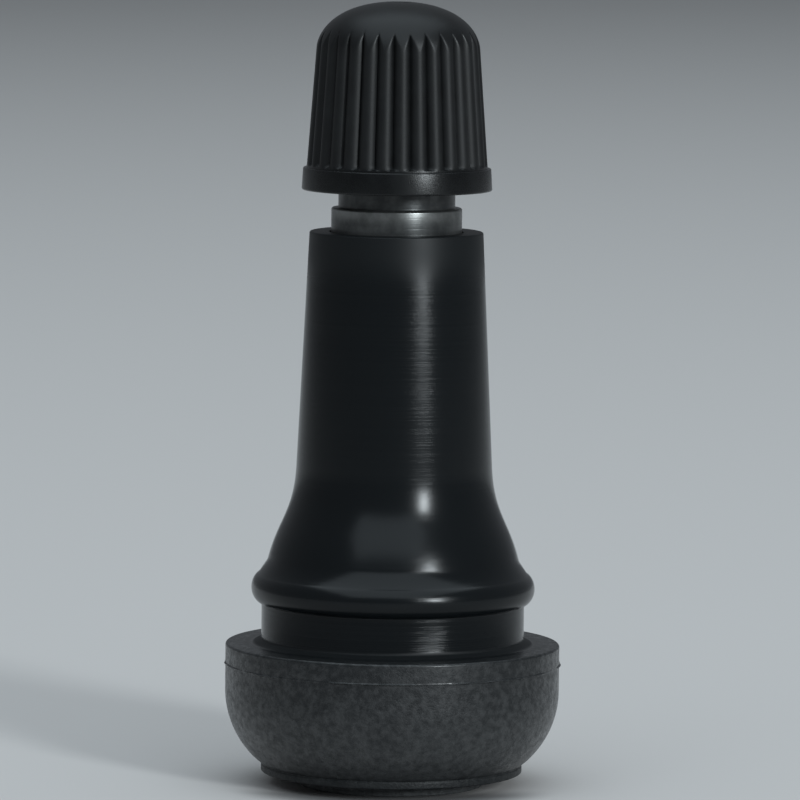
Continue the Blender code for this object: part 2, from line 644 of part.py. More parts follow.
def make_pin(material, parent):
    """The pin: a button at the mouth, a long shaft, and the riveted end that holds the cup."""
    rivet = PIN_RADIUS + PIN_RIVET_PROUD
    rivet_top = CUP_FOOT_DEPTH + FACE_GAP
    rivet_foot = rivet_top + PIN_RIVET_LENGTH
    button = PIN_RADIUS + PIN_BUTTON_PROUD
    button_foot = PIN_TOP_DEPTH + PIN_BUTTON_LENGTH
    outline = [
        (0.0, -rivet_foot),
        (rivet - PIN_RIVET_LENGTH / 2, -rivet_foot),
        (rivet, -rivet_foot + PIN_RIVET_LENGTH / 2),
        (rivet, -rivet_top),
        (PIN_RADIUS, -rivet_top),
        (PIN_RADIUS, -button_foot),
        (button, -button_foot),
        (button, -PIN_TOP_DEPTH - PIN_EDGE),
        (button - PIN_EDGE, -PIN_TOP_DEPTH),
        (0.0, -PIN_TOP_DEPTH),
    ]
    return turned("core_pin", outline, PIN_SEGMENTS, material, parent)


def make_pin_collar(material, parent):
    """The collar fixed on the pin, on which the spring pushes up."""
    outer = BARREL_BORE_RADIUS - RUNNING_GAP
    inner = PIN_RADIUS + FACE_GAP
    outline = [
        (outer, -PIN_COLLAR_DEPTH),
        (outer, -PIN_COLLAR_DEPTH + PIN_COLLAR_LENGTH),
        (inner, -PIN_COLLAR_DEPTH + PIN_COLLAR_LENGTH),
        (inner, -PIN_COLLAR_DEPTH),
    ]
    return turned("core_pin_collar", outline, PIN_SEGMENTS, material, parent)


def make_spring(material, parent):
    """The coil spring, with one closed turn at each end."""
    rise = SPRING_LENGTH - 2 * SPRING_WIRE_RADIUS
    active_pitch = (rise - 2 * SPRING_END_PITCH) / SPRING_ACTIVE_TURNS
    turns = SPRING_ACTIVE_TURNS + 2
    count = turns * SPRING_POINTS_PER_TURN + 1
    curve = bpy.data.curves.new("core_spring", "CURVE")
    curve.dimensions = "3D"
    curve.bevel_depth = SPRING_WIRE_RADIUS
    curve.bevel_resolution = 1
    curve.use_fill_caps = True
    wire = curve.splines.new("POLY")
    wire.points.add(count - 1)
    for index, point in enumerate(wire.points):
        turn = index / SPRING_POINTS_PER_TURN
        active = min(max(turn - 1.0, 0.0), SPRING_ACTIVE_TURNS)
        height = SPRING_WIRE_RADIUS + SPRING_END_PITCH * (turn - active) + active_pitch * active
        angle = 2 * math.pi * turn
        place = (SPRING_RADIUS * math.cos(angle), SPRING_RADIUS * math.sin(angle), height)
        point.co = (*place, 1.0)
    spring = add_object("core_spring", curve, material, parent)
    spring.location.z = -SPRING_SEAT_DEPTH + FACE_GAP
    return spring


def make_cup(material, parent):
    """The cup on the pin's lower end, open upwards round the gasket."""
    hole = PIN_RADIUS + FACE_GAP
    outline = [
        (CUP_RADIUS - CUP_WALL, -CUP_FOOT_DEPTH),
        (CUP_RADIUS, -CUP_FOOT_DEPTH + CUP_WALL),
        (CUP_RADIUS, -CUP_FOOT_DEPTH + CUP_LENGTH),
        (CUP_RADIUS - CUP_WALL, -CUP_FOOT_DEPTH + CUP_LENGTH),
        (CUP_RADIUS - CUP_WALL, -CUP_FOOT_DEPTH + CUP_FLOOR),
        (hole, -CUP_FOOT_DEPTH + CUP_FLOOR),
        (hole, -CUP_FOOT_DEPTH),
    ]
    return turned("core_cup", outline, CORE_SEGMENTS, material, parent)


def make_gasket(material, parent):
    """The gasket in the cup, which closes the barrel's lower end."""
    outer = CUP_RADIUS - CUP_WALL - FACE_GAP
    inner = PIN_RADIUS + FACE_GAP
    outline = [
        (outer, -GASKET_TOP_DEPTH - GASKET_THICKNESS),
        (outer, -GASKET_TOP_DEPTH),
        (inner, -GASKET_TOP_DEPTH),
        (inner, -GASKET_TOP_DEPTH - GASKET_THICKNESS),
    ]
    return turned("core_cup_gasket", outline, CORE_SEGMENTS, material, parent)


def build():
    """Builds the whole valve."""
    clear_scene()
    rubber = make_material("black_rubber", (0.018, 0.020, 0.022), 0.45)
    plated = make_material("plated_brass", (0.46, 0.46, 0.45), 0.32, 1.0)
    cap_plastic = make_material("black_plastic", (0.016, 0.018, 0.020), 0.38)
    seal_rubber = make_material("seal_rubber", (0.030, 0.030, 0.032), 0.60)
    brass = make_material("brass", (0.66, 0.50, 0.24), 0.30, 1.0)
    spring_steel = make_material("spring_steel", (0.55, 0.55, 0.56), 0.28, 1.0)

    turned("rubber_body", rubber_outline(), BODY_SEGMENTS, rubber)
    turned("valve_stem", stem_outline(), STEM_SEGMENTS, plated)

    core_frame = make_frame("core_axis", VALVE_LENGTH)
    make_plug(brass, core_frame)
    make_barrel(brass, core_frame)
    make_barrel_seal(seal_rubber, core_frame)
    make_spring(spring_steel, core_frame)
    pin_frame = make_frame("pin_axis", 0.0, core_frame)
    make_pin(brass, pin_frame)
    make_pin_collar(brass, pin_frame)
    make_cup(brass, pin_frame)
    make_gasket(seal_rubber, pin_frame)

    cap_frame = make_frame("cap_axis", VALVE_LENGTH - CAP_RIM_DEPTH)
    make_cap(cap_plastic, cap_frame)
    make_cap_seal(seal_rubber, cap_frame)


build()
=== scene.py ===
# %% [markdown]
# A snap-in tyre valve, standing on its rubber base
#
# The real valve is a metal tube that a rubber body is moulded round, with a small valve core screwed into
# the tube and a plastic cap screwed over it. The CAD frame already holds every piece as a coarse solid that
# moves and fits. This script remakes each piece finely, in the same place, and gives it its real finish. It
# starts with the frame, because all that follows is measured from it.

# %% Load the frame
import math

import bpy
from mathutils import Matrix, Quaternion, Vector
from mathutils.geometry import interpolate_bezier


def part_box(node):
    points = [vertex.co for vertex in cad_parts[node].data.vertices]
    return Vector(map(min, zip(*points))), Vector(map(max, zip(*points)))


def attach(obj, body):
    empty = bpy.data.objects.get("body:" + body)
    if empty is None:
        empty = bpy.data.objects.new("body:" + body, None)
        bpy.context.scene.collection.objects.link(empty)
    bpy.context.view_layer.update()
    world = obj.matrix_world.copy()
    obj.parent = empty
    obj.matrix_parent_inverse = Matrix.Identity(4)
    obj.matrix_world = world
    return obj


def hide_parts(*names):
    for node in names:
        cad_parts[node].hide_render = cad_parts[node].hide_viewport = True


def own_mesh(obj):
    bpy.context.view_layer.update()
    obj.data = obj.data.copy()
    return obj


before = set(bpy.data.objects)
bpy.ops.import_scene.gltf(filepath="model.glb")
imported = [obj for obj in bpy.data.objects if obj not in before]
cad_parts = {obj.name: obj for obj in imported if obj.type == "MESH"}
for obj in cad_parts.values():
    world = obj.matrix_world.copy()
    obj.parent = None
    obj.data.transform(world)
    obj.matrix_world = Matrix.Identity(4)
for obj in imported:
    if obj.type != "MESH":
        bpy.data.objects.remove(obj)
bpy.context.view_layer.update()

MM = 0.001

# %% [markdown]
# The camera
#
# The photograph was taken from some way off with a long lens: the base and the cap are seen almost level,
# and the rings curve only a little. From a distance of 0.4 m and a height just above the cap, the rings
# curve as they do in the photograph. A camera in Blender looks down its own -Z, so its turn comes from the
# direction to the target.

# %% Camera
CAMERA_DISTANCE = 400 * MM
CAMERA_HEIGHT = 60.8 * MM
CAMERA_SIDE = 0.30 * MM
AIM_HEIGHT = 22.57 * MM
CAMERA_ROLL = math.radians(-0.58)
LENS = 310.0

camera_data = bpy.data.cameras.new("camera")
camera_data.lens = LENS
camera_data.clip_start = 10 * MM
camera_data.clip_end = 10.0
camera = bpy.data.objects.new("camera", camera_data)
camera.location = (CAMERA_SIDE, -CAMERA_DISTANCE, CAMERA_HEIGHT)
view_line = Vector((CAMERA_SIDE, 0.0, AIM_HEIGHT)) - camera.location
camera.rotation_mode = "QUATERNION"
camera.rotation_quaternion = Quaternion(view_line, CAMERA_ROLL) @ view_line.to_track_quat("-Z", "Y")
bpy.context.collection.objects.link(camera)
bpy.context.scene.camera = camera
bpy.context.scene.view_settings.view_transform = "Standard"
print("camera looks down by", round(math.degrees(math.atan2(-view_line.z, CAMERA_DISTANCE)), 2), "degrees")

# %% [markdown]
# One way to write nodes
#
# Both the shapes and the finishes below are node trees. Wiring nodes by hand hides the sum that they work
# out, so one small class wraps an output socket and lets Python's own operators add the Math nodes. Every
# other kind of node comes from its one method, add, which takes the node's type, its settings and its
# sockets' values or links.

# %% The wrapped socket
class Link:
    """An output socket of a node tree, which can be used in Python's arithmetic."""

    def __init__(self, socket):
        self.socket = socket
        self.tree = socket.id_data

    @classmethod
    def add(cls, tree, kind, settings=None, inputs=None, output=0):
        """Adds a node: its type, its settings, then the values or links of its sockets."""
        node = tree.nodes.new(kind)
        for name, value in (settings or {}).items():
            setattr(node, name, value)
        for name, value in (inputs or {}).items():
            if isinstance(value, Link):
                tree.links.new(value.socket, node.inputs[name])
            else:
                node.inputs[name].default_value = value
        return cls(node.outputs[output]) if node.outputs else None

    def __getitem__(self, name):
        """Another output of the same node, by its name."""
        return Link(self.socket.node.outputs[name])

    def math(self, operation, *values):
        return Link.add(self.tree, "ShaderNodeMath", {"operation": operation}, dict(enumerate(values)))

    def __add__(self, other):
        return self.math("ADD", self, other)

    def __sub__(self, other):
        return self.math("SUBTRACT", self, other)

    def __mul__(self, other):
        return self.math("MULTIPLY", self, other)

    def __truediv__(self, other):
        return self.math("DIVIDE", self, other)

    def __pow__(self, other):
        return self.math("POWER", self, other)

    def __radd__(self, other):
        return self.math("ADD", other, self)

    def __rsub__(self, other):
        return self.math("SUBTRACT", other, self)

    def __rmul__(self, other):
        return self.math("MULTIPLY", other, self)

    def __rtruediv__(self, other):
        return self.math("DIVIDE", other, self)

    def __neg__(self):
        return self.math("SUBTRACT", 0.0, self)

    def __abs__(self):
        return self.math("ABSOLUTE", self)

    def low(self, other):
        return self.math("MINIMUM", self, other)

    def high(self, other):
        return self.math("MAXIMUM", self, other)

    def ramp(self, start, end):
        """Climbs smoothly from 0 at start to 1 at end."""
        limits = {"Value": self, "From Min": start, "From Max": end, "To Min": 0.0, "To Max": 1.0}
        return Link.add(self.tree, "ShaderNodeMapRange", {"interpolation_type": "SMOOTHSTEP"}, limits)

    def fall(self, start, end):
        """Falls smoothly from 1 at start to 0 at end."""
        return 1.0 - self.ramp(start, end)

    def band(self, start, full, fade, end):
        """Climbs from start to full, and falls again from fade to end."""
        return self.ramp(start, full) * self.fall(fade, end)

    def round_axis(self, radius, height=0.0):
        """The point at this angle round the axis."""
        return Link.add(self.tree, "ShaderNodeCombineXYZ", inputs={
            "X": self.math("COSINE", self) * radius, "Y": self.math("SINE", self) * radius, "Z": height})


# %% [markdown]
# What the finishes are made of
#
# Every finish is built from a few things: noise for what is uneven, noise in height alone for what a lathe
# or a mould leaves, masks that fade in and out at a height, and colours mixed by them. An image texture
# could show the same, but a pattern worked out from the piece's own coordinates, in millimetres, has no
# seams and keeps its real size.

# %% Helpers for finishes
def new_finish(name):
    """An empty material and its node tree."""
    material = bpy.data.materials.new(name)
    material.use_nodes = True
    material.node_tree.nodes.clear()
    return material, material.node_tree


def set_surface(tree, **sockets):
    """Ends a material in a Principled surface. A socket's name has its spaces written as underscores."""
    inputs = {name.replace("_", " "): value for name, value in sockets.items()}
    surface = Link.add(tree, "ShaderNodeBsdfPrincipled", inputs=inputs)
    Link.add(tree, "ShaderNodeOutputMaterial", inputs={"Surface": surface})


def place_in_mm(tree):
    """The point on the object in millimetres, which is also its place in the frame."""
    point = Link.add(tree, "ShaderNodeTexCoord")["Object"]
    return Link.add(tree, "ShaderNodeVectorMath", {"operation": "SCALE"}, {0: point, "Scale": 1 / MM})


def height_in_mm(point):
    return Link.add(point.tree, "ShaderNodeSeparateXYZ", inputs={0: point})["Z"]


def noise(point, scale, detail=2.0, roughness=0.5, distortion=0.0):
    """Noise from 0 to 1 with scale features to the millimetre."""
    return Link.add(point.tree, "ShaderNodeTexNoise", inputs={
        "Vector": point, "Scale": scale, "Detail": detail, "Roughness": roughness, "Distortion": distortion})


def rings(height, scale, detail=2.0):
    """Noise that changes with height alone, as turning and moulding marks do."""
    return Link.add(height.tree, "ShaderNodeTexNoise", {"noise_dimensions": "1D"}, {
        "W": height, "Scale": scale, "Detail": detail})


def mix_colours(share, first, second):
    """first where share is 0 and second where it is 1."""
    return Link.add(share.tree, "ShaderNodeMix", {"data_type": "RGBA"}, {0: share, 6: first, 7: second}, 2)


def relief(height, depth):
    """A normal that a height from 0 to 1 presses depth millimetres deep."""
    return Link.add(height.tree, "ShaderNodeBump", inputs={
        "Strength": 1.0, "Distance": depth * MM, "Height": height})


# %% [markdown]
# The floor
#
# The photograph has a plain grey sweep that is palest round the valve's foot and darkens with distance. A
# curved backdrop could do that with light, but then the lamps would be set for the background and not for
# the valve. Here a wide flat floor does it with its own colour. It also darkens toward the camera, because
# a pale floor there would lie as a haze in the glossy rubber, and just in front of the foot, where the
# photograph has the bowl's soft shade.

# %% Floor
FLOOR_RADIUS = 3.0
FLOOR_SIDES = 64
FLOOR_COLOUR = (0.595, 0.575, 0.562, 1.0)
FAR_COLOUR = (0.142, 0.140, 0.142, 1.0)
POOL_REACH = 1160 * MM
FRONT_EDGE = (150 * MM, 600 * MM)
SHADE_EDGE = (7.2 * MM, 10.6 * MM)
SHADE_FRONT = (2.0 * MM, 5.0 * MM)
SHADE_DEPTH = 0.85


def floor_finish():
    """A matt sweep that darkens away from the valve."""
    material, tree = new_finish("grey_sweep")
    point = Link.add(tree, "ShaderNodeTexCoord")["Object"]
    distance = Link.add(tree, "ShaderNodeVectorMath", {"operation": "LENGTH"}, {0: point}, "Value")
    toward_camera = -Link.add(tree, "ShaderNodeSeparateXYZ", inputs={0: point})["Y"]
    near = toward_camera.fall(*FRONT_EDGE) / (1.0 + (distance / POOL_REACH) ** 2.0)
    shade = distance.fall(*SHADE_EDGE) * toward_camera.ramp(*SHADE_FRONT)
    colour = mix_colours(near * (1.0 - shade * SHADE_DEPTH), FAR_COLOUR, FLOOR_COLOUR)
    set_surface(tree, Base_Color=colour, Roughness=0.9, Specular_IOR_Level=0.1)
    return material


floor_mesh = bpy.data.meshes.new("floor")
floor_rim = [(FLOOR_RADIUS * math.cos(turn), FLOOR_RADIUS * math.sin(turn), 0.0)
             for turn in (2 * math.pi * index / FLOOR_SIDES for index in range(FLOOR_SIDES))]
floor_mesh.from_pydata(floor_rim, [], [tuple(range(FLOOR_SIDES))])
floor_mesh.materials.append(floor_finish())
floor = bpy.data.objects.new("floor", floor_mesh)
bpy.context.collection.objects.link(floor)
print("the floor reaches", FLOOR_RADIUS, "m and is palest at the valve's foot")

# %% [markdown]
# The light
#
# Black rubber shows little but reflections, so what counts is where something bright stands to be
# reflected. Two soft panels do it over a dim, even world: a small bright one low on the right, whose
# reflection is the narrow streak down the neck, and a wide faint one overhead, a little blue, which greys
# the bell, the bowl and the cap's dome. Each is described by its direction and by how bright it looks, so
# it keeps its look when it is resized.

# %% Lamps and world
LIGHT_AIM = Vector((0.0, 0.0, 20 * MM))
WORLD_GREY = (0.170, 0.182, 0.196, 1.0)


def soft_panel(name, azimuth, elevation, distance, width, height, radiance, tint):
    """A lamp that faces the valve. Azimuth 0 is the camera's side and 90 its right, in degrees."""
    turn = math.radians(azimuth)
    climb = math.radians(elevation)
    out = Vector((math.sin(turn) * math.cos(climb), -math.cos(turn) * math.cos(climb), math.sin(climb)))
    lamp = bpy.data.lights.new(name, "AREA")
    lamp.shape = "RECTANGLE"
    lamp.size = width
    lamp.size_y = height
    lamp.energy = radiance * math.pi * width * height
    lamp.color = tint
    panel = bpy.data.objects.new(name, lamp)
    panel.location = LIGHT_AIM + out * distance
    panel.rotation_mode = "QUATERNION"
    panel.rotation_quaternion = (-out).to_track_quat("-Z", "Y")
    bpy.context.collection.objects.link(panel)
    print(name, "at", [round(value, 3) for value in panel.location], "gives", round(lamp.energy, 2), "W")


soft_panel("key_panel", 35, 17, 1.60, 0.24, 0.44, 46.0, (0.92, 1.0, 1.04))
soft_panel("canopy", -6, 77, 1.40, 2.00, 2.80, 1.15, (0.87, 1.0, 1.08))

world = bpy.data.worlds.new("studio")
world.use_nodes = True
world.node_tree.nodes.clear()
grey = Link.add(world.node_tree, "ShaderNodeBackground", inputs={"Color": WORLD_GREY})
Link.add(world.node_tree, "ShaderNodeOutputWorld", inputs={"Surface": grey})
bpy.context.scene.world = world

# %% [markdown]
# Outlines
#
# Nearly every piece here was turned or moulded round one axis, so its whole form is one outline of radius
# and height. A designer draws it with sharp corners and gives each a radius, because no real edge is sharp
# and it is the small round that catches the light. The helper does that: a corner is (radius, height) or
# (radius, height, rounding), in millimetres, and the rounding becomes a short arc.

# %% Outline helpers
ARC_STEP = math.radians(14)


def rounded(corners):
    """The outline through these corners, with an arc at each one that has a rounding."""
    outline = []
    for index, corner in enumerate(corners):
        here = Vector(corner[:2])
        if len(corner) < 3:
            outline.append(tuple(here))
            continue
        back = Vector(corners[index - 1][:2]) - here
        onward = Vector(corners[(index + 1) % len(corners)][:2]) - here
        half = back.angle(onward) / 2
        reach = min(corner[2] / math.tan(half), 0.48 * back.length, 0.48 * onward.length)
        back.normalize()
        onward.normalize()
        centre = here + (back + onward).normalized() * reach / math.cos(half)
        start = here + back * reach - centre
        end = here + onward * reach - centre
        radius = start.length
        steps = max(2, math.ceil((math.pi - 2 * half) / ARC_STEP))
        outline += [tuple(centre + radius * start.slerp(end, step / steps)) for step in range(steps + 1)]
    return outline


def arc(centre, radius, start, end, count):
    """Points along a circular arc, with its angles in radians from outward."""
    turns = [start + (end - start) * index / (count - 1) for index in range(count)]
    return [(centre[0] + radius * math.cos(turn), centre[1] + radius * math.sin(turn)) for turn in turns]


def bezier(start, start_handle, end_handle, end, count):
    """Points along one Bezier stretch."""
    knots = [Vector((*knot, 0.0)) for knot in (start, start_handle, end_handle, end)]
    return [(point.x, point.y) for point in interpolate_bezier(*knots, count)]


def run(start, end, step):
    """Evenly spaced points along a straight stretch, for what a tree then presses into it."""
    start = Vector(start)
    end = Vector(end)
    count = max(1, math.ceil((end - start).length / step))
    return [tuple(start.lerp(end, index / count)) for index in range(count + 1)]


# %% [markdown]
# A tree that turns an outline
#
# The Screw modifier turns an outline too, but threads and flutes depend on the angle as well as on the
# height, and Geometry Nodes can work out both together. The tree lays a grid with one row for each point of
# the outline and one column for each step round the axis, and bends it round. Where the outline's points
# carry a mark, the radius changes with the angle. Rows that meet on the axis and the seam between the last
# column and the first are then merged, so the shell is closed, and the last step brings millimetres to
# metres.

# %% The grid that every turning starts from
FULL_TURN = 2 * math.pi


def open_tree(name, sizes):
    """A new tree's inputs. Its first two are the outline and the finish, and its one output is the piece."""
    tree = bpy.data.node_groups.new(name, "GeometryNodeTree")
    tree.interface.new_socket("Outline", in_out="INPUT", socket_type="NodeSocketGeometry")
    tree.interface.new_socket("Finish", in_out="INPUT", socket_type="NodeSocketMaterial")
    for size, kind in sizes.items():
        tree.interface.new_socket(size, in_out="INPUT", socket_type=kind)
    tree.interface.new_socket("Piece", in_out="OUTPUT", socket_type="NodeSocketGeometry")
    return Link.add(tree, "NodeGroupInput")


def lay_grid(given):
    """The grid, and for each of its points the outline's row and the angle round the axis."""
    outline = given["Outline"]
    segments = given["Segments"]
    rows = Link.add(given.tree, "GeometryNodeAttributeDomainSize", inputs={"Geometry": outline})
    grid = Link.add(given.tree, "GeometryNodeMeshGrid", inputs={
        "Vertices X": segments + 1.0, "Vertices Y": rows})
    index = Link.add(given.tree, "GeometryNodeInputIndex")
    row = index.math("MODULO", index, rows)
    column = index.math("FLOOR", (index + 0.5) / rows)
    angle = column.math("MODULO", column, segments) * FULL_TURN / segments
    return grid, row, angle


def outline_value(given, row, name=None):
    """What the outline says at a row: its place, or a mark that its points carry."""
    kind = "FLOAT" if name else "FLOAT_VECTOR"
    if name:
        value = Link.add(given.tree, "GeometryNodeInputNamedAttribute", {"data_type": kind}, {"Name": name})
    else:
        value = Link.add(given.tree, "GeometryNodeInputPosition")
    return Link.add(given.tree, "GeometryNodeSampleIndex", {"data_type": kind}, {
        "Geometry": given["Outline"], "Value": value, "Index": row})


# %% Bend the grid round and close the tree
SEAM_DISTANCE = 0.00002
ZERO_AREA = 1e-10
SHARP_EDGE = math.radians(42)


def bend_round(grid, radius, angle, height):
    """Moves the grid's points round the axis, then closes its seam and its poles."""
    bent = Link.add(grid.tree, "GeometryNodeSetPosition", inputs={
        "Geometry": grid, "Position": angle.round_axis(radius, height)})
    area = Link.add(grid.tree, "GeometryNodeInputMeshFaceArea")
    flat = Link.add(grid.tree, "FunctionNodeCompare", {"operation": "LESS_THAN"}, {"A": area, "B": ZERO_AREA})
    kept = Link.add(grid.tree, "GeometryNodeDeleteGeometry", {"domain": "FACE"}, {
        "Geometry": bent, "Selection": flat})
    return Link.add(grid.tree, "GeometryNodeMergeByDistance", inputs={
        "Geometry": kept, "Distance": SEAM_DISTANCE})


def close_tree(given, shape):
    """Brings the shape to metres, shades it smooth between sharp edges and gives it its finish."""
    tree = given.tree
    sized = Link.add(tree, "GeometryNodeTransform", inputs={"Geometry": shape, "Scale": (MM, MM, MM)})
    bend = Link.add(tree, "GeometryNodeInputMeshEdgeAngle")
    sharp = Link.add(tree, "FunctionNodeCompare", {"operation": "GREATER_THAN"}, {"A": bend, "B": SHARP_EDGE})
    smooth = Link.add(tree, "GeometryNodeSetShadeSmooth", inputs={"Geometry": sized, "Shade Smooth": True})
    edged = Link.add(tree, "GeometryNodeSetShadeSmooth", {"domain": "EDGE"}, {
        "Geometry": smooth, "Selection": sharp, "Shade Smooth": False})
    whole = Link.add(tree, "GeometryNodeRealizeInstances", inputs={"Geometry": edged})
    dressed = Link.add(tree, "GeometryNodeSetMaterial", inputs={
        "Geometry": whole, "Material": given["Finish"]})
    Link.add(tree, "NodeGroupOutput", inputs={"Piece": dressed})
    print("the tree", tree.name, "has", len(tree.nodes), "nodes")
    return tree


# %% [markdown]
# Threads
#
# A thread could be a section swept along a helix and joined to the tube, but it is quicker and always
# closed when it is a rule: the height in pitches, less the share of a turn that the point stands at, says
# how far it is from a crest. The valve has two threads, 32 turns to the inch for the cap and 36 for the
# core. The outline's points say which of them is cut there, and how far the outline has already drawn in
# below the crest.

# %% Threads in a tree
INCH = 25.4
CAP_PITCH = INCH / 32
CORE_PITCH = INCH / 36
CAP_THREAD_DEPTH = 0.45
CORE_THREAD_DEPTH = 0.35
THREAD_FLAT = 0.12
THREAD_SIZES = {
    "Cap thread pitch": CAP_PITCH,
    "Cap thread depth": CAP_THREAD_DEPTH,
    "Core thread pitch": CORE_PITCH,
    "Core thread depth": CORE_THREAD_DEPTH,
}


def thread_depth(height, angle, pitch):
    """0 on the crest of a right-handed thread and 1 at its root."""
    turns = height / pitch - angle / FULL_TURN
    share = turns.math("FRACT", turns)
    return ((abs(share * 2.0 - 1.0) - THREAD_FLAT) / (1.0 - 2.0 * THREAD_FLAT)).high(0.0).low(1.0)


def cut_threads(given, row, angle, height):
    """How far the threads reach in from the outline at each point of the grid."""
    below_crest = outline_value(given, row, "Below crest")
    cut = 0.0
    for thread in ("Cap thread", "Core thread"):
        depth = thread_depth(height, angle, given[thread + " pitch"]) * given[thread + " depth"]
        cut = (depth - below_crest).high(0.0) * outline_value(given, row, thread) + cut
    return cut


def start_turning(name, *sizes):
    """What every turned tree starts with, up to the outline's radius and height at each point."""
    lengths = dict.fromkeys((*THREAD_SIZES, *sizes), "NodeSocketFloat")
    given = open_tree(name, {"Segments": "NodeSocketInt", **lengths})
    grid, row, angle = lay_grid(given)
    radius = Link.add(given.tree, "ShaderNodeSeparateXYZ", inputs={0: outline_value(given, row)})
    return given, grid, row, angle, radius, radius["Z"]


# %% The tree for turned and threaded pieces
FIN_RAGGEDNESS = 0.11
TORN_STRETCHES = (0.46, 0.60)


def turning_tree():
    """Turns an outline, with threads and a ragged fin where its points ask for them."""
    given, grid, row, angle, radius, height = start_turning("turning", "Fin raggedness")
    torn = Link.add(given.tree, "ShaderNodeTexNoise", inputs={
        "Vector": angle.round_axis(1.0), "Scale": 3.5, "Detail": 6.0})
    torn_away = torn.fall(*TORN_STRETCHES) * given["Fin raggedness"]
    radius = radius - cut_threads(given, row, angle, height) - torn_away * outline_value(given, row, "Fin")
    return close_tree(given, bend_round(grid, radius, angle, height))


TURNING = turning_tree()

# %% [markdown]
# From a tree to a piece
#
# The tree runs as a modifier on a small mesh that holds only the outline. Its result is copied off as a
# plain mesh, and the outline is thrown away. Each size is set by its socket's identifier before the object
# is first evaluated.

# %% Running a tree on an outline
def run_tree(name, outline, tree, values, marks=None):
    """A plain object that a tree makes from an outline of (radius, height) points and its inputs by name."""
    mesh = bpy.data.meshes.new(name + "_outline")
    edges = [(index, index + 1) for index in range(len(outline) - 1)]
    mesh.from_pydata([(radius, 0.0, height) for radius, height in outline], edges, [])
    for mark, amounts in (marks or {}).items():
        mesh.attributes.new(mark, "FLOAT", "POINT").data.foreach_set("value", amounts)
    source = bpy.data.objects.new(name + "_outline", mesh)
    bpy.context.collection.objects.link(source)
    modifier = source.modifiers.new(tree.name, "NODES")
    modifier.node_group = tree
    for item in tree.interface.items_tree:
        if item.in_out == "INPUT" and item.name in values:
            modifier[item.identifier] = values[item.name]
    depsgraph = bpy.context.evaluated_depsgraph_get()
    plain = bpy.data.meshes.new_from_object(source.evaluated_get(depsgraph), depsgraph=depsgraph)
    bpy.data.objects.remove(source)
    if plain.materials[0] is None:
        plain.materials.pop(index=0)
    plain.name = name
    piece = bpy.data.objects.new(name, plain)
    bpy.context.collection.objects.link(piece)
    return piece


def place_piece(piece, body, node):
    """Attaches the piece to the body that it moves with and hides the CAD node that it stands for."""
    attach(piece, body)
    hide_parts(node)
    piece.data.calc_loop_triangles()
    print(piece.name, len(piece.data.loop_triangles), "triangles")


# %% Turning a piece
def turn(name, outline, finish, body, node, slot, segments=128, marks=None, ring=True,
         tree=TURNING, sizes=None):
    """One turned piece in its place. A ring's outline comes back to its first point."""
    joining = 1 if ring else 0
    marks = {mark: amounts + amounts[:joining] for mark, amounts in (marks or {}).items()}
    values = {"Finish": finish, "Segments": segments, "Fin raggedness": FIN_RAGGEDNESS, **THREAD_SIZES}
    piece = run_tree(name, outline + outline[:joining], tree, {**values, **(sizes or {})}, marks)
    place_piece(piece, body, node)

# %% [markdown]
# Rubber
#
# Moulded rubber is black because it is full of soot, and where the mould was polished it comes out with a
# soft gloss, as on the neck. The bowl below was moulded in a rougher half of the mould and has picked up
# dust, most of it low down, so it is greyer and mottled under a dull sheen. The lip's colour is darkened as
# painted shade, and the foot under it is made pale as painted light. Fingers have dulled the neck's top, and
# the mould left fine rings in the gloss. It is one moulding, so one material does it all, with a mask for
# each part of it.

# %% Where the rubber changes, in millimetres above the floor
FOOT_FADE = (0.60, 0.75)
LIP_FADE = (1.15, 1.45)
DUST_FADE = (2.5, 7.2)
BOWL_FADE = (7.9, 8.25)
FLANGE_FADE = (8.6, 9.2)
FLANGE_START = (7.9, 8.9)
CREASE_BAND = (8.30, 8.40, 8.58, 8.75)
GROOVE_BAND = (8.60, 8.80, 10.3, 10.6)
BELL_BAND = (13.6, 14.6, 17.2, 18.6)
HANDLED_FADE = (29.0, 31.6)


def rubber_masks(point, height):
    """How much of each part of the moulding a point belongs to. The flange's top counts as bowl."""
    sideways = Link.add(point.tree, "ShaderNodeVectorMath", {"operation": "MULTIPLY"}, {
        0: point, 1: (1.0, 1.0, 0.0)})
    reach = Link.add(point.tree, "ShaderNodeVectorMath", {"operation": "LENGTH"}, {0: sideways}, "Value")
    flange = reach.ramp(*FLANGE_START) * height.fall(*FLANGE_FADE)
    return {
        "foot": height.fall(*FOOT_FADE),
        "lip": height.fall(*LIP_FADE),
        "low": height.fall(*DUST_FADE),
        "bowl": 1.0 - height.ramp(*BOWL_FADE) * (1.0 - flange),
        "crease": height.band(*CREASE_BAND),
        "groove": height.band(*GROOVE_BAND),
        "bell": height.band(*BELL_BAND),
        "handled": height.ramp(*HANDLED_FADE),
    }


# %% The rubber's colour
CLEAN_RUBBER = (0.0040, 0.0052, 0.0060, 1.0)
DUSTY_RUBBER = (0.034, 0.036, 0.037, 1.0)
# The foot's pale colour is painted light, as if its recess under the lip were lit.
PAINTED_LIGHT_FOOT_RUBBER = (0.105, 0.110, 0.112, 1.0)


def rubber_colour(point, part, grain):
    """Black, with dust on the bowl that is thickest low down, painted shade on the lip and painted light on
    the foot.
    """
    patches = noise(point, 0.55, 3.0, 0.6, 0.4)
    # Less dust on the lip darkens it as painted shade.
    dust_and_painted_lip_shade = 0.03 + part["low"] * 0.54 - part["lip"] * 0.35 + (patches - 0.5) * 0.6 + (grain - 0.5) * 1.3
    colour = mix_colours(part["bowl"] * dust_and_painted_lip_shade.high(0.0).low(1.0), CLEAN_RUBBER, DUSTY_RUBBER)
    # The foot is made pale as painted light in its shaded recess under the lip.
    foot_painted_light = part["foot"] * (0.75 + (grain - 0.5) * 1.5)
    return mix_colours(foot_painted_light, colour, PAINTED_LIGHT_FOOT_RUBBER)


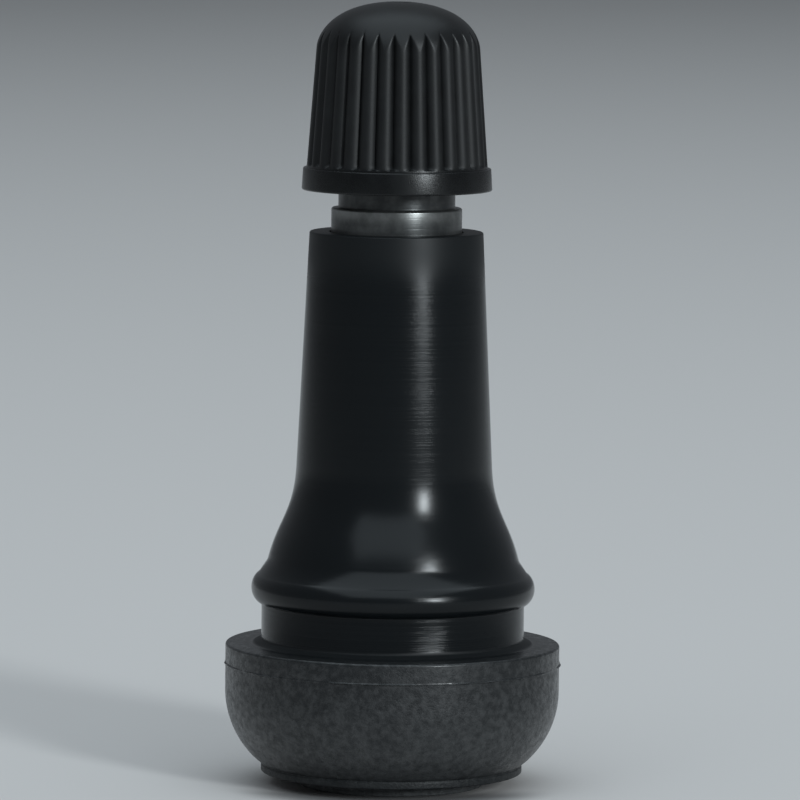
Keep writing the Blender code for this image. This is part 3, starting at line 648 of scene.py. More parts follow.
# %% The rubber's relief, with its depths in millimetres
RINGS_TO_A_MM = 40.0
RING_DEPTH = 0.0019 * 0.4
FINE_DEPTH = 0.0008
BOWL_GRAIN_DEPTH = 0.07
BOWL_PITS_DEPTH = 0.02
GROOVE_LEAN = 0.075
GROOVE_LEAN_SPAN = 2.0


def rubber_relief(point, height, part, grain):
    """Mould rings where it is glossy, grain on the bowl, and a groove whose wall leans back a little."""
    ring_share = 1.0 - part["handled"] - part["bowl"] + part["groove"] * 0.2 - part["bell"] * 0.38
    mould_rings = rings(height, RINGS_TO_A_MM, 1.0).ramp(0.52, 0.74) * ring_share.high(0.0)
    lean = (GROOVE_BAND[-1] - height).high(0.0).low(GROOVE_LEAN_SPAN) * GROOVE_LEAN
    fine = noise(point, 26.0, 2.0)
    pits = noise(point, 11.0, 3.0)
    return relief(lean + mould_rings * RING_DEPTH + fine * FINE_DEPTH + part["bowl"] * (
        grain * BOWL_GRAIN_DEPTH + pits * BOWL_PITS_DEPTH), 1.0)


# %% Rubber finish
GLOSSY = 0.18


def rubber_finish():
    """Glossy on the neck, matt and dusty on the bowl."""
    material, tree = new_finish("moulded_rubber")
    point = place_in_mm(tree)
    height = height_in_mm(point)
    part = rubber_masks(point, height)
    grain = noise(point, 2.4, 6.0, 0.65)
    film = noise(point, 0.25, 3.0, 0.55)
    roughness = (GLOSSY + film * 0.05 + part["bowl"] * (0.18 + grain * 0.14) + part["handled"] * 0.25
                 + part["crease"] * 0.35 - part["groove"] * 0.05)
    sheen = part["bowl"] * (0.30 + grain.ramp(0.34, 0.68) * 0.55) * (1.0 - part["lip"] * 0.9)
    set_surface(tree, Base_Color=rubber_colour(point, part, grain), Roughness=roughness,
                Normal=rubber_relief(point, height, part, grain), Specular_IOR_Level=0.24,
                Coat_Weight=sheen, Coat_Roughness=0.26)
    print("the rubber's finish has", len(tree.nodes), "nodes")
    return material


RUBBER = rubber_finish()

# %% [markdown]
# The rubber body
#
# From the floor up: a foot, a thin lip that stands out over it, a bowl, the thin fin of rubber that was
# squeezed out where the mould's halves met, a flat flange that lies against the wheel, the groove that
# takes the edge of the rim hole, a rounded bead that snaps through it, and a bell that draws in to the long
# neck. Inside, it grips the stem. The sizes below are the CAD's own, and the heights and the largest radius
# come from the frame.

# %% Sizes of the rubber body
RUBBER_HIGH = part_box("rubber_body")[1] / MM
BODY_TOP = RUBBER_HIGH.z
FIN_WIDTH = 0.12
FIN_THICKNESS = 0.14
FLANGE_RADIUS = RUBBER_HIGH.x - FIN_WIDTH
GROOVE_RADIUS = FLANGE_RADIUS - 2.09
PARTING_HEIGHT = 7.14
FLANGE_TOP = PARTING_HEIGHT + 1.17
GROOVE_TOP = FLANGE_TOP + 2.33
FOOT_RADIUS = 5.40
LIP_RADIUS = 7.64
LIP_FOOT = 0.77
LIP_TOP = LIP_FOOT + 0.42
BOWL_ARC_RADIUS = 5.43
BOWL_FOOT = 1.62
HOLLOW_TOP = 1.77
BOND_GAP = 0.10
print("flange radius", round(FLANGE_RADIUS, 2), "mm, groove radius", round(GROOVE_RADIUS, 2), "mm")

# %% Sizes of the stem that the rubber grips
STEM_LOW, STEM_HIGH = (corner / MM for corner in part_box("valve_stem"))
MOUTH = STEM_HIGH.z
STEM_FOOT = STEM_LOW.z
CAP_THREAD_RADIUS = STEM_HIGH.x
COLLAR_RADIUS = CAP_THREAD_RADIUS - 0.04
TUBE_RADIUS = 3.15
BORE_RADIUS = 1.80
BARB_HEIGHTS = [STEM_FOOT + (3.20 + 2.60 * index) for index in range(3)]


def stem_in_rubber(grow):
    """The stem's buried outside, grown by a clearance, with small roundings."""
    tube = TUBE_RADIUS + grow
    soft = 0.06
    collar_foot = BODY_TOP - 1.60
    corners = [
        (tube + 0.55, STEM_FOOT - grow, soft),
        (tube + 0.55, STEM_FOOT + 1.30, soft),
        (tube, STEM_FOOT + 1.63 + grow, soft),
    ]
    for base in BARB_HEIGHTS:
        corners += [
            (tube, base - grow, soft),
            (tube + 0.40, base - grow, soft),
            (tube, base + 1.10, soft),
        ]
    corners += [
        (tube, collar_foot - grow, soft),
        (COLLAR_RADIUS + grow, collar_foot + COLLAR_RADIUS - TUBE_RADIUS - grow, soft),
    ]
    return corners


# %% Outline of the rubber body
def bowl_and_flange():
    """From the foot to the root of the rim groove."""
    fin_foot = PARTING_HEIGHT - FIN_THICKNESS / 2
    bowl_top = fin_foot - 1.50
    centre = (FLANGE_RADIUS - BOWL_ARC_RADIUS, bowl_top)
    start = -math.asin((bowl_top - BOWL_FOOT) / BOWL_ARC_RADIUS)
    face = FLANGE_RADIUS - 1.54
    return [
        (FOOT_RADIUS, 0.0, 0.10),
        (FOOT_RADIUS, LIP_FOOT, 0.12),
        (LIP_RADIUS, LIP_FOOT, 0.07),
        (LIP_RADIUS, LIP_TOP - 0.05, 0.15),
        (LIP_RADIUS - 0.05, LIP_TOP + 0.02, 0.04),
        *arc(centre, BOWL_ARC_RADIUS, start, 0.0, 26),
        (FLANGE_RADIUS, fin_foot, 0.02),
        (FLANGE_RADIUS + FIN_WIDTH, PARTING_HEIGHT, 0.02),
        (FLANGE_RADIUS, PARTING_HEIGHT + FIN_THICKNESS / 2, 0.02),
        (FLANGE_RADIUS, FLANGE_TOP, 0.15),
        (face, FLANGE_TOP, 0.20),
        (GROOVE_RADIUS, FLANGE_TOP + 0.24, 0.12),
    ]


# %% Outline of the bead and the bell
BEAD_PROUD = 0.60
BEAD_DEPTH = 0.75
BEAD_HALF_HEIGHT = 0.94
BEAD_DROP = 0.44
BEAD_STEPS = 22
BELL_RADIUS = GROOVE_RADIUS - 0.33
BELL_HEIGHT = 5.60
NECK_FOOT_RADIUS = 5.71
NECK_TOP_RADIUS = 5.06


def bead_and_bell():
    """The bead that snaps through the rim hole, then the bell up to the neck."""
    start = math.acos(1.0 - BEAD_PROUD / BEAD_DEPTH)
    end = math.acos(1.0 - BEAD_DROP / BEAD_DEPTH)
    middle = GROOVE_TOP + BEAD_HALF_HEIGHT * math.sin(start)
    bead = []
    for index in range(BEAD_STEPS + 1):
        angle = -start + (start + end) * index / BEAD_STEPS
        bead.append((GROOVE_RADIUS + BEAD_PROUD - BEAD_DEPTH * (1.0 - math.cos(angle)),
                     middle + BEAD_HALF_HEIGHT * math.sin(angle)))
    foot = middle + 1.59
    top = foot + BELL_HEIGHT
    return bead + bezier(
        (BELL_RADIUS, foot), (BELL_RADIUS - 0.60, foot + 2.40),
        (NECK_FOOT_RADIUS + 0.13, top - 2.80), (NECK_FOOT_RADIUS, top), 30)


RUBBER_OUTLINE = rounded([
    *bowl_and_flange(),
    *bead_and_bell(),
    (NECK_TOP_RADIUS, BODY_TOP, 0.10),
    (COLLAR_RADIUS + BOND_GAP, BODY_TOP, 0.05),
    *reversed(stem_in_rubber(BOND_GAP)),
    (2.50, STEM_FOOT - BOND_GAP, 0.08),
    (2.50, HOLLOW_TOP, 0.12),
    (3.70, HOLLOW_TOP, 0.15),
    (4.20, 0.0, 0.10),
])
print("the rubber's outline has", len(RUBBER_OUTLINE), "points")

# %% Turn the rubber body
fin_marks = [max(0.0, min(1.0, (radius - FLANGE_RADIUS) / FIN_WIDTH)) for radius, height in RUBBER_OUTLINE]
turn("rubber_moulding", RUBBER_OUTLINE, RUBBER, "valve_body", "rubber_body", "black_rubber",
     segments=288, marks={"Fin": fin_marks})

# %% [markdown]
# The stem
#
# A brass tube, turned on a lathe and dull nickel plated. Only its collar and the narrow relief under the
# cap show in the photograph. Above them runs the cap's thread, and inside are the core's thread, the
# tapered seat for the core's seal and the air bore. The turning marks run round it, so its bump and
# roughness change with height alone. Grime has settled where a cloth doesn't reach, where the collar
# comes out of the rubber and in the relief, whose dark colour is also painted shade under the cap's rim.

# %% Plated and turned finishes
# The grime colour and its band in the relief are also painted shade under the cap's rim; the band at the
# rubber is grime.
METAL_GRIME_AND_SHADE = (0.022, 0.024, 0.025, 1.0)
RELIEF_GRIME_AND_SHADE_BAND = [BODY_TOP + rise for rise in (1.30, 1.50, 2.42, 2.90)]
BOND_GRIME_FADE = [BODY_TOP + rise for rise in (0.50, 1.38)]


def turned_metal(name, bright, dull, roughness, mark_size, grimy_and_shaded=False):
    """A turned metal with marks round the axis and dull patches. Grime lies above and below the collar; in
    the relief above it, the dark is also painted shade.
    """
    material, tree = new_finish(name)
    point = place_in_mm(tree)
    height = height_in_mm(point)
    marks = rings(height, 9.0, 4.0)
    patches = noise(point, 0.9, 4.0, 0.6)
    colour = mix_colours(patches.ramp(0.35, 0.75), bright, dull)
    metal = 1.0
    if grimy_and_shaded:
        # In the relief under the cap's rim this darkening is painted shade as well as grime.
        grime_and_painted_shade = height.band(*RELIEF_GRIME_AND_SHADE_BAND) + height.fall(*BOND_GRIME_FADE) * 0.9
        grime_and_painted_shade = (grime_and_painted_shade * (0.6 + patches * 0.6)).low(1.0)
        colour = mix_colours(grime_and_painted_shade, colour, METAL_GRIME_AND_SHADE)
        metal = 1.0 - grime_and_painted_shade * 0.5
    rough = roughness + (patches - 0.5) * 0.10 + (marks - 0.5) * 0.08
    set_surface(tree, Base_Color=colour, Metallic=metal, Roughness=rough, Normal=relief(marks, mark_size))
    return material


PLATED = turned_metal(
    "dull_nickel", (0.26, 0.265, 0.26, 1.0), (0.15, 0.155, 0.15, 1.0), 0.33, 0.007, grimy_and_shaded=True)
BRASS = turned_metal(
    "turned_brass", (0.70, 0.52, 0.25, 1.0), (0.52, 0.37, 0.16, 1.0), 0.26, 0.006)

# %% Outline of the stem
COLLAR_TOP = BODY_TOP + 1.40
RELIEF_RADIUS = CAP_THREAD_RADIUS - 0.45
RELIEF_TOP = COLLAR_TOP + 1.02
CORE_THREAD_RADIUS = 2.60
CORE_THREAD_FOOT = MOUTH - 6.50
CHAMBER_RADIUS = CORE_THREAD_RADIUS - 0.25
SEAT_TOP = MOUTH - 7.50
SEAT_FOOT = MOUTH - 9.10
THREAD_STEP = CAP_PITCH / 14


def stem_outline():
    """Up the outside, over the mouth and down the bore."""
    soft = 0.06
    crest = CAP_THREAD_RADIUS
    outside = rounded([
        (BORE_RADIUS, STEM_FOOT),
        *stem_in_rubber(0.0),
        (COLLAR_RADIUS, COLLAR_TOP, 0.13),
        (RELIEF_RADIUS, COLLAR_TOP, 0.10),
        (RELIEF_RADIUS, RELIEF_TOP),
    ])[1:]
    threaded = run(outside[-1], (crest, RELIEF_TOP + 0.45), THREAD_STEP)
    threaded += run(threaded[-1], (crest, MOUTH - 0.45), THREAD_STEP)[1:]
    threaded += run(threaded[-1], (crest - 0.40, MOUTH - 0.05), THREAD_STEP)[1:]
    mouth = rounded([
        threaded[-1],
        (CAP_THREAD_RADIUS - 0.45, MOUTH, soft),
        (CORE_THREAD_RADIUS + 0.15, MOUTH, soft),
        (CORE_THREAD_RADIUS, MOUTH - 0.15),
    ])
    bore_thread = run(mouth[-1], (CORE_THREAD_RADIUS, CORE_THREAD_FOOT), THREAD_STEP)
    bore = rounded([
        bore_thread[-1],
        (CHAMBER_RADIUS, CORE_THREAD_FOOT - 0.25, soft),
        (CHAMBER_RADIUS, SEAT_TOP, soft),
        (BORE_RADIUS, SEAT_FOOT, soft),
        (BORE_RADIUS, STEM_FOOT, soft),
        (TUBE_RADIUS, STEM_FOOT),
    ])
    return outside[:-1] + threaded[:-1] + mouth[:-1] + bore_thread[:-1] + bore[:-1]


def thread_fade(outline, radius, low, high, lead):
    """1 along a bore's thread and 0 away from it, climbing over lead at its ends."""
    fades = []
    for point_radius, height in outline:
        on_surface = abs(point_radius - radius) < 0.01
        inside = min(height - low, high - height) / lead
        fades.append(max(0.0, min(1.0, inside)) if on_surface else 0.0)
    return fades


def outside_thread(outline, crest, depth, low, high):
    """Where an outside thread is cut, and how far the outline already lies below its crest there."""
    share = []
    below = []
    for radius, height in outline:
        threaded = low <= height <= high and radius > crest - depth - 0.001
        share.append(1.0 if threaded else 0.0)
        below.append(crest - radius if threaded else 0.0)
    return share, below


# %% Turn the stem
STEM_OUTLINE = stem_outline()
cap_thread, below_crest = outside_thread(STEM_OUTLINE, CAP_THREAD_RADIUS, CAP_THREAD_DEPTH, RELIEF_TOP, MOUTH)
core_thread = thread_fade(STEM_OUTLINE, CORE_THREAD_RADIUS, CORE_THREAD_FOOT, MOUTH - 0.15, 0.3)
turn("plated_stem", STEM_OUTLINE, PLATED, "valve_body", "valve_stem", "plated_brass", segments=160,
     marks={"Cap thread": cap_thread, "Below crest": below_crest, "Core thread": core_thread})

# %% [markdown]
# The cap
#
# A moulded plastic cap with thirty ribs for the fingers, a plain band at its rim and a squared dome, with
# the dimple left by the mould's gate on top. The ribs could be thirty copies of one bar, but on the real
# cap they are what is left between narrow grooves, which are cut parallel to the tapered side and so run
# out by themselves where the dome curves in behind them. Each rib's crest is an arc, and two arcs meet in
# each groove. That is a rule of the angle, so a second tree cuts the grooves while it bends the grid round,
# and the inside thread with them.

# %% The tree for the fluted cap
FLUTE_SIZES = {
    "Flute count": 30.0,
    "Flute depth": 0.32,
    "First flute angle": math.radians(-93.0),
}
RIB_EDGE_SINE = math.sin(math.radians(54))
RIB_EDGE_COSINE = math.cos(math.radians(54))


def cap_tree():
    """Turns the cap's outline, with its flutes outside and the thread inside."""
    given, grid, row, angle, radius, height = start_turning("fluted_cap", *FLUTE_SIZES)
    flute = (angle - given["First flute angle"]) * given["Flute count"] / FULL_TURN
    off_centre = abs(flute - flute.math("ROUND", flute))
    across = (1.0 - off_centre * 2.0) * RIB_EDGE_SINE
    section = (1.0 - (1.0 - across * across) ** 0.5) / (1.0 - RIB_EDGE_COSINE)
    fluted = outline_value(given, row, "Flute side") - (
        given["Flute depth"] * section * outline_value(given, row, "Flute foot"))
    radius = radius.low(fluted) - cut_threads(given, row, angle, height)
    return close_tree(given, bend_round(grid, radius, angle, height))


# %% Outline of the cap
CAP_LOW, CAP_HIGH = (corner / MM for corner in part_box("valve_cap"))
CAP_RIM = CAP_LOW.z
CAP_TOP = CAP_HIGH.z
CAP_BORE_RADIUS = CAP_THREAD_RADIUS + 0.10
CAP_BORE_TOP = CAP_TOP - 1.52
CAP_BODY_RADIUS = CAP_BORE_RADIUS + 1.32
CAP_RIM_RADIUS = CAP_BODY_RADIUS + 0.28
CAP_RIM_TOP = CAP_RIM + 1.31
SHOULDER_RADIUS = CAP_BODY_RADIUS - 0.48
DOME_HEIGHT = 3.12
SHOULDER = CAP_TOP - DOME_HEIGHT
SQUARENESS = 2.2
LEAD_IN = 0.30
POCKET_RADIUS = CAP_BORE_RADIUS - LEAD_IN
POCKET_FOOT = CAP_BORE_TOP - 1.05
GATE_RADIUS = 0.80
FLUTE_FOOT_SPAN = 0.60


def cap_side(height):
    """The radius of the cap's tapered side, carried on upwards past the shoulder."""
    share = (height - CAP_RIM_TOP) / (SHOULDER - CAP_RIM_TOP)
    return CAP_BODY_RADIUS + (SHOULDER_RADIUS - CAP_BODY_RADIUS) * share


def cap_dome(count):
    """The squared dome from the shoulder to the rim of the gate's dimple."""
    last = math.acos((GATE_RADIUS / SHOULDER_RADIUS) ** (SQUARENESS / 2))
    dome = arc((0.0, 0.0), 1.0, 0.0, last, count)
    return [(SHOULDER_RADIUS * across ** (2 / SQUARENESS), SHOULDER + DOME_HEIGHT * up ** (2 / SQUARENESS))
            for across, up in dome]


def cap_outline():
    """Up the outside to the axis, then down the inside from it."""
    soft = 0.10
    rises = [FLUTE_FOOT_SPAN * index / 12 for index in range(1, 13)]
    foot = [(cap_side(CAP_RIM_TOP + rise), CAP_RIM_TOP + rise) for rise in rises]
    outside = rounded([
        (CAP_BORE_RADIUS, CAP_RIM + LEAD_IN),
        (CAP_BORE_RADIUS + LEAD_IN, CAP_RIM, 0.05),
        (CAP_RIM_RADIUS, CAP_RIM, soft),
        (CAP_RIM_RADIUS - 0.08, CAP_RIM_TOP, soft),
        (cap_side(CAP_RIM_TOP), CAP_RIM_TOP, 0.12),
        *foot,
        *run(foot[-1], (SHOULDER_RADIUS, SHOULDER), 1.0)[1:-1],
        *cap_dome(34),
        (GATE_RADIUS - 0.10, CAP_TOP - 0.09, 0.04),
        (0.0, CAP_TOP - 0.10),
    ])[1:]
    hollow = rounded([
        (0.0, CAP_BORE_TOP),
        (POCKET_RADIUS, CAP_BORE_TOP, soft),
        (POCKET_RADIUS, POCKET_FOOT, soft),
        (CAP_BORE_RADIUS, POCKET_FOOT - LEAD_IN),
    ])
    bore = run(hollow[-1], (CAP_BORE_RADIUS, CAP_RIM + LEAD_IN), CAP_PITCH / 10)
    return outside + hollow + bore[1:]


# %% [markdown]
# The cap's plastic
#
# The plastic has the satin skin of its mould. Fingers have rubbed the ribs and, half as much, the dome, so
# they are rougher than the rim's band. That is wear, not another material, so only the roughness changes
# with the height.

# %% Satin plastic
DARK_PLASTIC = (0.0014, 0.0018, 0.0021, 1.0)
PALE_PLASTIC = (0.0040, 0.0048, 0.0052, 1.0)


def plastic_finish():
    """Moulded plastic, satin, a little worn and dusty."""
    material, tree = new_finish("moulded_plastic")
    point = place_in_mm(tree)
    height = height_in_mm(point)
    grain = noise(point, 14.0, 3.0, 0.6)
    patches = noise(point, 0.8, 3.0, 0.55)
    on_ribs = height.ramp(CAP_RIM_TOP, CAP_RIM_TOP + 0.3)
    rubbed = on_ribs * (1.0 - height.ramp(SHOULDER, SHOULDER + 1.2) * 0.5)
    colour = mix_colours(patches.ramp(0.3, 0.8), DARK_PLASTIC, PALE_PLASTIC)
    roughness = 0.24 + patches * 0.08 + (grain - 0.5) * 0.08 + rubbed * 0.25
    set_surface(tree, Base_Color=colour, Roughness=roughness, Normal=relief(grain, 0.006),
                Specular_IOR_Level=0.33)
    return material


# %% Turn the cap
CAP_OUTLINE = cap_outline()
LEDGE_MARGIN = 0.0001
thread_foot = CAP_RIM + 0.6
thread_top = POCKET_FOOT - 0.5
cap_marks = {
    "Cap thread": thread_fade(CAP_OUTLINE, CAP_BORE_RADIUS, thread_foot, thread_top, LEAD_IN),
    "Flute side": [],
    "Flute foot": [],
}
for radius, height in CAP_OUTLINE:
    on_side = height > CAP_RIM_TOP + LEDGE_MARGIN and radius > GATE_RADIUS
    climb = max(0.0, min(1.0, (height - CAP_RIM_TOP - 0.10) / FLUTE_SIZES["Flute depth"]))
    cap_marks["Flute side"].append(cap_side(height) if on_side else CAP_HIGH.x)
    cap_marks["Flute foot"].append(math.sqrt(climb * (2.0 - climb)) if on_side else 0.0)
turn("fluted_cap", CAP_OUTLINE, plastic_finish(), "cap", "valve_cap", "black_plastic",
     segments=480, marks=cap_marks, tree=cap_tree(), sizes=FLUTE_SIZES)

# %% [markdown]
# The cap's seal
#
# A plain rubber washer sits in the cap's roof and closes on the stem's mouth. It was punched from sheet, so
# its edges are crisp and its faces carry a fine grain. All the small seals share its matt finish.

# %% Seal rubber
def seal_finish():
    """Matt rubber with a fine grain."""
    material, tree = new_finish("seal_rubber_grain")
    point = place_in_mm(tree)
    grain = noise(point, 9.0, 4.0, 0.6)
    colour = mix_colours(grain.ramp(0.3, 0.75), (0.020, 0.020, 0.022, 1.0), (0.040, 0.040, 0.042, 1.0))
    set_surface(tree, Base_Color=colour, Roughness=0.50 + grain * 0.25, Normal=relief(grain, 0.02),
                Specular_IOR_Level=0.35)
    return material


SEAL_RUBBER = seal_finish()


def washer(low, high, inner, outer, edge):
    """The outline of a ring with a rectangular section and small rounded edges."""
    return rounded([(outer, low, edge), (outer, high, edge), (inner, high, edge), (inner, low, edge)])


seal_top = CAP_BORE_TOP - 0.10
seal_outline = washer(seal_top - 0.80, seal_top, 1.30, POCKET_RADIUS - 0.10, 0.06)
turn("cap_washer", seal_outline, SEAL_RUBBER, "cap_seal", "cap_seal", "seal_rubber")

# %% [markdown]
# The valve core
#
# Everything that makes the valve work is inside the stem. A threaded plug holds a barrel, whose rubber ring
# closes on the stem's tapered seat. A pin runs through both: a spring pushes its collar up, which pulls a
# cup with a gasket against the barrel's lower end. Pressing the pin's button opens it. All of it is small
# turned brass, so it uses the turning tree again, and depths are counted down from the stem's mouth as on a
# drawing of the real core.

# %% Sizes of the core
PIN_RADIUS = 0.45
RUNNING_GAP = 0.13
WIRE_RADIUS = 0.14
COIL_RADIUS = PIN_RADIUS + RUNNING_GAP + WIRE_RADIUS
BARREL_BORE = COIL_RADIUS + WIRE_RADIUS + RUNNING_GAP
BARREL_NECK = BARREL_BORE + 0.30
BARREL_HEAD = BARREL_NECK + 0.25
BARREL_BODY = BORE_RADIUS - 0.15
PLUG_TOP = 2.50
PLUG_FOOT = 6.20
BAR_FOOT = 4.50
BARREL_TOP = 5.20
BARREL_FOOT = 14.50
SPRING_SEAT = 13.60
print("coil radius", round(COIL_RADIUS, 2), "mm, barrel bore radius", round(BARREL_BORE, 2), "mm")


def hung(corners):
    """An outline whose heights are given as depths below the stem's mouth."""
    return rounded([(radius, MOUTH - depth, *edge) for radius, depth, *edge in corners])


# %% [markdown]
# The core's plug
#
# The plug is a short threaded ring. Its upper half is milled away on two sides, which leaves the flat bar
# that a valve key turns, and opens the cavity below it so that air can pass. Milling is a cut, so its tree
# turns the ring with its thread first and then takes two blocks away with a Mesh Boolean node.

# %% The tree for the plug
CUTTER_SIZE = 10


def plug_tree():
    """Turns and threads the plug, then mills its two sides."""
    given, grid, row, angle, radius, height = start_turning("milled_plug", "Bar width", "Bar foot")
    plug = bend_round(grid, radius - cut_threads(given, row, angle, height), angle, height)
    tree = given.tree
    block = Link.add(tree, "GeometryNodeMeshCube", inputs={"Size": [CUTTER_SIZE] * 3})
    for side in (-1.0, 1.0):
        shift = Link.add(tree, "ShaderNodeCombineXYZ", inputs={
            "Y": (given["Bar width"] * 0.5 + CUTTER_SIZE / 2) * side,
            "Z": given["Bar foot"] + CUTTER_SIZE / 2})
        cutter = Link.add(tree, "GeometryNodeTransform", inputs={"Geometry": block, "Translation": shift})
        plug = Link.add(tree, "GeometryNodeMeshBoolean", {"operation": "DIFFERENCE", "solver": "MANIFOLD"}, {
            "Mesh 1": plug, "Mesh 2": cutter})
    return close_tree(given, plug)


# %% Make the plug
PLUG_RADIUS = CORE_THREAD_RADIUS - 0.10
PLUG_EDGE = 0.20
PLUG_CAVITY_TOP = BAR_FOOT - 0.40
PLUG_LEDGE = PLUG_FOOT - 0.50
BAR_WIDTH = 2.60
low = MOUTH - PLUG_FOOT
high = MOUTH - PLUG_TOP
plug_side = run((PLUG_RADIUS - PLUG_EDGE, low), (PLUG_RADIUS, low + PLUG_EDGE), THREAD_STEP)
plug_side += run(plug_side[-1], (PLUG_RADIUS, high - PLUG_EDGE), THREAD_STEP)[1:]
plug_side += run(plug_side[-1], (PLUG_RADIUS - PLUG_EDGE, high), THREAD_STEP)[1:]
plug_hollow = hung([
    (PLUG_RADIUS - PLUG_EDGE, PLUG_TOP),
    (PIN_RADIUS + RUNNING_GAP, PLUG_TOP, 0.10),
    (PIN_RADIUS + RUNNING_GAP, PLUG_CAVITY_TOP),
    (BARREL_HEAD + RUNNING_GAP, PLUG_CAVITY_TOP, 0.08),
    (BARREL_HEAD + RUNNING_GAP, PLUG_LEDGE, 0.08),
    (BARREL_NECK + RUNNING_GAP, PLUG_LEDGE, 0.05),
    (BARREL_NECK + RUNNING_GAP, PLUG_FOOT, 0.08),
    (PLUG_RADIUS - PLUG_EDGE, PLUG_FOOT),
])[1:-1]
PLUG_OUTLINE = plug_side + plug_hollow
core_thread, below_crest = outside_thread(PLUG_OUTLINE, PLUG_RADIUS, CORE_THREAD_DEPTH, low, high)
turn("milled_plug", PLUG_OUTLINE, BRASS, "core_plug", "core_plug", "brass", segments=96,
     marks={"Core thread": core_thread, "Below crest": below_crest},
     tree=plug_tree(), sizes={"Bar width": BAR_WIDTH, "Bar foot": MOUTH - BAR_FOOT})

# %% [markdown]
# The barrel and its seal
#
# The barrel is a brass tube whose flared head hangs in the plug, so the plug turns on it while the barrel
# slides straight down. Its groove holds a rubber ring as tapered as the stem's seat, so the ring's slope is
# worked out from the seat.

# %% Turn the barrel and its seal
SEAL_GROOVE_TOP = 7.50
SEAL_GROOVE_FOOT = 9.00
SEAL_TOP = SEAL_GROOVE_TOP + 0.10
SEAL_FOOT = SEAL_GROOVE_FOOT - 0.10
SEAL_GROOVE_RADIUS = BARREL_BORE + 0.25
BARREL_SHOULDER = 6.30
BARREL_LIP = 5.60
BARREL_TAIL = BARREL_BODY - 0.20
PIN_HOLE = PIN_RADIUS + 0.30
EDGE = 0.05


def seat_radius(depth):
    """The radius of the stem's tapered seat at a depth below the mouth."""
    share = (MOUTH - depth - SEAT_FOOT) / (SEAT_TOP - SEAT_FOOT)
    return BORE_RADIUS + (CHAMBER_RADIUS - BORE_RADIUS) * share


turn("core_barrel_turned", hung([
    (BARREL_TAIL, BARREL_FOOT, 0.06),
    (BARREL_TAIL, 9.70, EDGE),
    (BARREL_BODY, 9.50, EDGE),
    (BARREL_BODY, SEAL_GROOVE_FOOT, EDGE),
    (SEAL_GROOVE_RADIUS, SEAL_GROOVE_FOOT, EDGE),
    (SEAL_GROOVE_RADIUS, SEAL_GROOVE_TOP, EDGE),
    (BARREL_BODY, SEAL_GROOVE_TOP, EDGE),
    (BARREL_BODY, BARREL_SHOULDER, 0.10),
    (BARREL_NECK, BARREL_SHOULDER, EDGE),
    (BARREL_NECK, BARREL_LIP, EDGE),
    (BARREL_HEAD, BARREL_LIP, EDGE),
    (BARREL_HEAD, BARREL_TOP, 0.10),
    (BARREL_BORE, BARREL_TOP, EDGE),
    (BARREL_BORE, SPRING_SEAT, EDGE),
    (PIN_HOLE, SPRING_SEAT, EDGE),
    (PIN_HOLE, BARREL_FOOT, EDGE),
]), BRASS, "core", "core_barrel", "brass", segments=96)

turn("core_seat_ring", hung([
    (seat_radius(SEAL_FOOT) - 0.05, SEAL_FOOT, 0.12),
    (seat_radius(SEAL_TOP) - 0.05, SEAL_TOP, 0.12),
    (SEAL_GROOVE_RADIUS + 0.10, SEAL_TOP, 0.06),
    (SEAL_GROOVE_RADIUS + 0.10, SEAL_FOOT, 0.06),
]), SEAL_RUBBER, "core", "core_barrel_seal", "seal_rubber", segments=96)

# %% [markdown]
# The pin and what it carries
#
# A thin pin with a button at the mouth. The collar that the spring pushes on and the cup with its gasket
# are crimped on it in the real core, and here each is its own turning, a hair's breadth from the pin.

# %% Turn the pin and what it carries
CUP_RADIUS = BORE_RADIUS - 0.25
CUP_WALL = 0.25
CUP_FOOT = 15.95
CUP_HOLE = PIN_RADIUS + 0.10
PIN_EDGE = 0.04
RIVET_RADIUS = 0.72
RIVET_TOP = 16.05
RIVET_FOOT = 16.45
BUTTON_RADIUS = 0.70
BUTTON_TOP = 0.30
BUTTON_FOOT = 1.20
CUP_TOP = CUP_FOOT - 1.10
CUP_FLOOR = CUP_FOOT - 0.45

turn("core_pin_turned", hung([
    (0.0, RIVET_FOOT),
    (RIVET_RADIUS, RIVET_FOOT, 0.18),
    (RIVET_RADIUS, RIVET_TOP, PIN_EDGE),
    (PIN_RADIUS, RIVET_TOP, PIN_EDGE),
    (PIN_RADIUS, BUTTON_FOOT, PIN_EDGE),
    (BUTTON_RADIUS, BUTTON_FOOT, 0.06),
    (BUTTON_RADIUS, BUTTON_TOP, 0.16),
    (0.0, BUTTON_TOP),
]), BRASS, "core_pin", "core_pin", "brass", segments=64, ring=False)

turn("core_pin_ring", washer(MOUTH - 8.00, MOUTH - 7.40, CUP_HOLE, BARREL_BORE - RUNNING_GAP, EDGE),
     BRASS, "core_pin", "core_pin_collar", "brass", segments=64)

turn("core_cup_drawn", hung([
    (CUP_RADIUS, CUP_FOOT, 0.24),
    (CUP_RADIUS, CUP_TOP, 0.08),
    (CUP_RADIUS - CUP_WALL, CUP_TOP, 0.08),
    (CUP_RADIUS - CUP_WALL, CUP_FLOOR, PIN_EDGE),
    (CUP_HOLE, CUP_FLOOR, EDGE),
    (CUP_HOLE, CUP_FOOT, EDGE),
]), BRASS, "core_pin", "core_cup", "brass", segments=96)

turn("core_gasket",
     washer(MOUTH - 15.40, MOUTH - 14.60, CUP_HOLE, CUP_RADIUS - CUP_WALL - 0.10, EDGE),
     SEAL_RUBBER, "core_pin", "core_cup_gasket", "seal_rubber", segments=96)
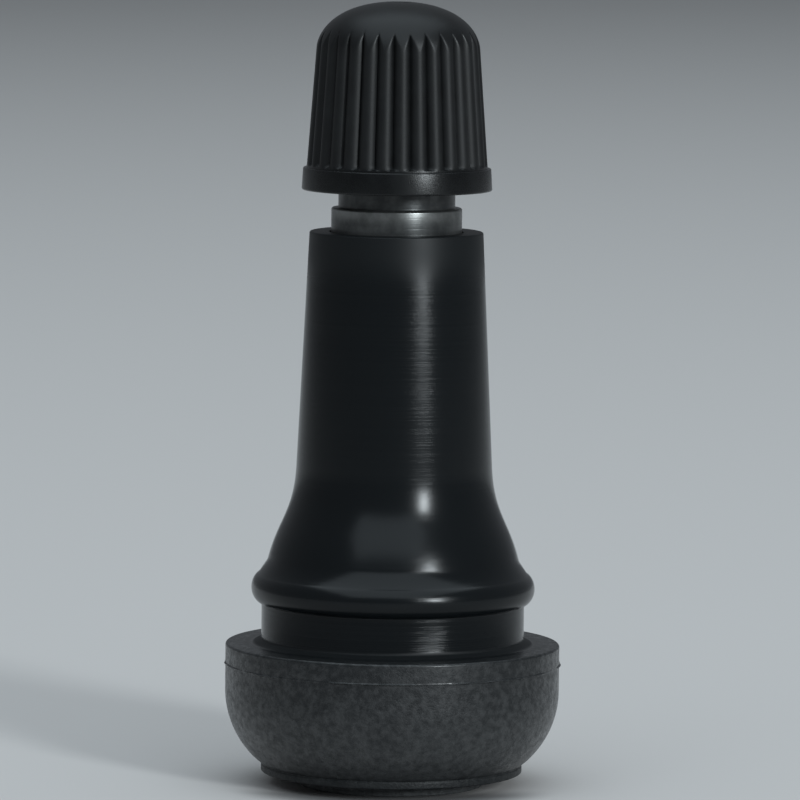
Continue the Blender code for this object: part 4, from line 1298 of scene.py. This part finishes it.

# %% [markdown]
# The core's spring
#
# A spring is a wire along a helix, with its end turns wound close so that it stands straight. The height is
# a rule of the number of turns so far, so the tree bends a mesh line with it and sweeps a circle along the
# result. On the real core the spring shortens as the pin is pressed.

# %% The tree for the spring
SPRING_FOOT = MOUTH - SPRING_SEAT + 0.10
SPRING_LENGTH = 5.40
END_PITCH = 0.32
ACTIVE_TURNS = 6
STEPS_PER_TURN = 36


def spring_tree():
    """A closed-end helix of round wire."""
    lengths = ("Foot", "Length", "Coil radius", "Wire radius", "End pitch")
    counts = ("Active turns", "Steps per turn")
    given = open_tree("closed_spring", {
        **dict.fromkeys(lengths, "NodeSocketFloat"), **dict.fromkeys(counts, "NodeSocketInt")})
    tree = given.tree
    wire = given["Wire radius"]
    end_pitch = given["End pitch"]
    active_turns = given["Active turns"]
    line = Link.add(tree, "GeometryNodeMeshLine", inputs={
        "Count": (active_turns + 2.0) * given["Steps per turn"] + 1.0})
    turns = Link.add(tree, "GeometryNodeInputIndex") / given["Steps per turn"]
    active = (turns - 1.0).high(0.0).low(active_turns)
    rise = given["Length"] - wire * 2.0 - end_pitch * 2.0
    height = given["Foot"] + wire + end_pitch * (turns - active) + rise / active_turns * active
    helix = Link.add(tree, "GeometryNodeSetPosition", inputs={
        "Geometry": line, "Position": (turns * FULL_TURN).round_axis(given["Coil radius"], height)})
    path = Link.add(tree, "GeometryNodeMeshToCurve", inputs={"Mesh": helix})
    section = Link.add(tree, "GeometryNodeCurvePrimitiveCircle", inputs={"Resolution": 12, "Radius": wire})
    return close_tree(given, Link.add(tree, "GeometryNodeCurveToMesh", inputs={
        "Curve": path, "Profile Curve": section, "Fill Caps": True}))


# %% Wind the spring
SPRING_STEEL = turned_metal("spring_wire", (0.56, 0.56, 0.57, 1.0), (0.42, 0.42, 0.43, 1.0), 0.24, 0.002)
spring = run_tree("core_spring_wound", [(0.0, 0.0), (0.0, 1.0)], spring_tree(), {
    "Finish": SPRING_STEEL, "Foot": SPRING_FOOT, "Length": SPRING_LENGTH, "Coil radius": COIL_RADIUS,
    "Wire radius": WIRE_RADIUS, "End pitch": END_PITCH, "Active turns": ACTIVE_TURNS,
    "Steps per turn": STEPS_PER_TURN})
place_piece(spring, "core", "core_spring")
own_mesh(spring)
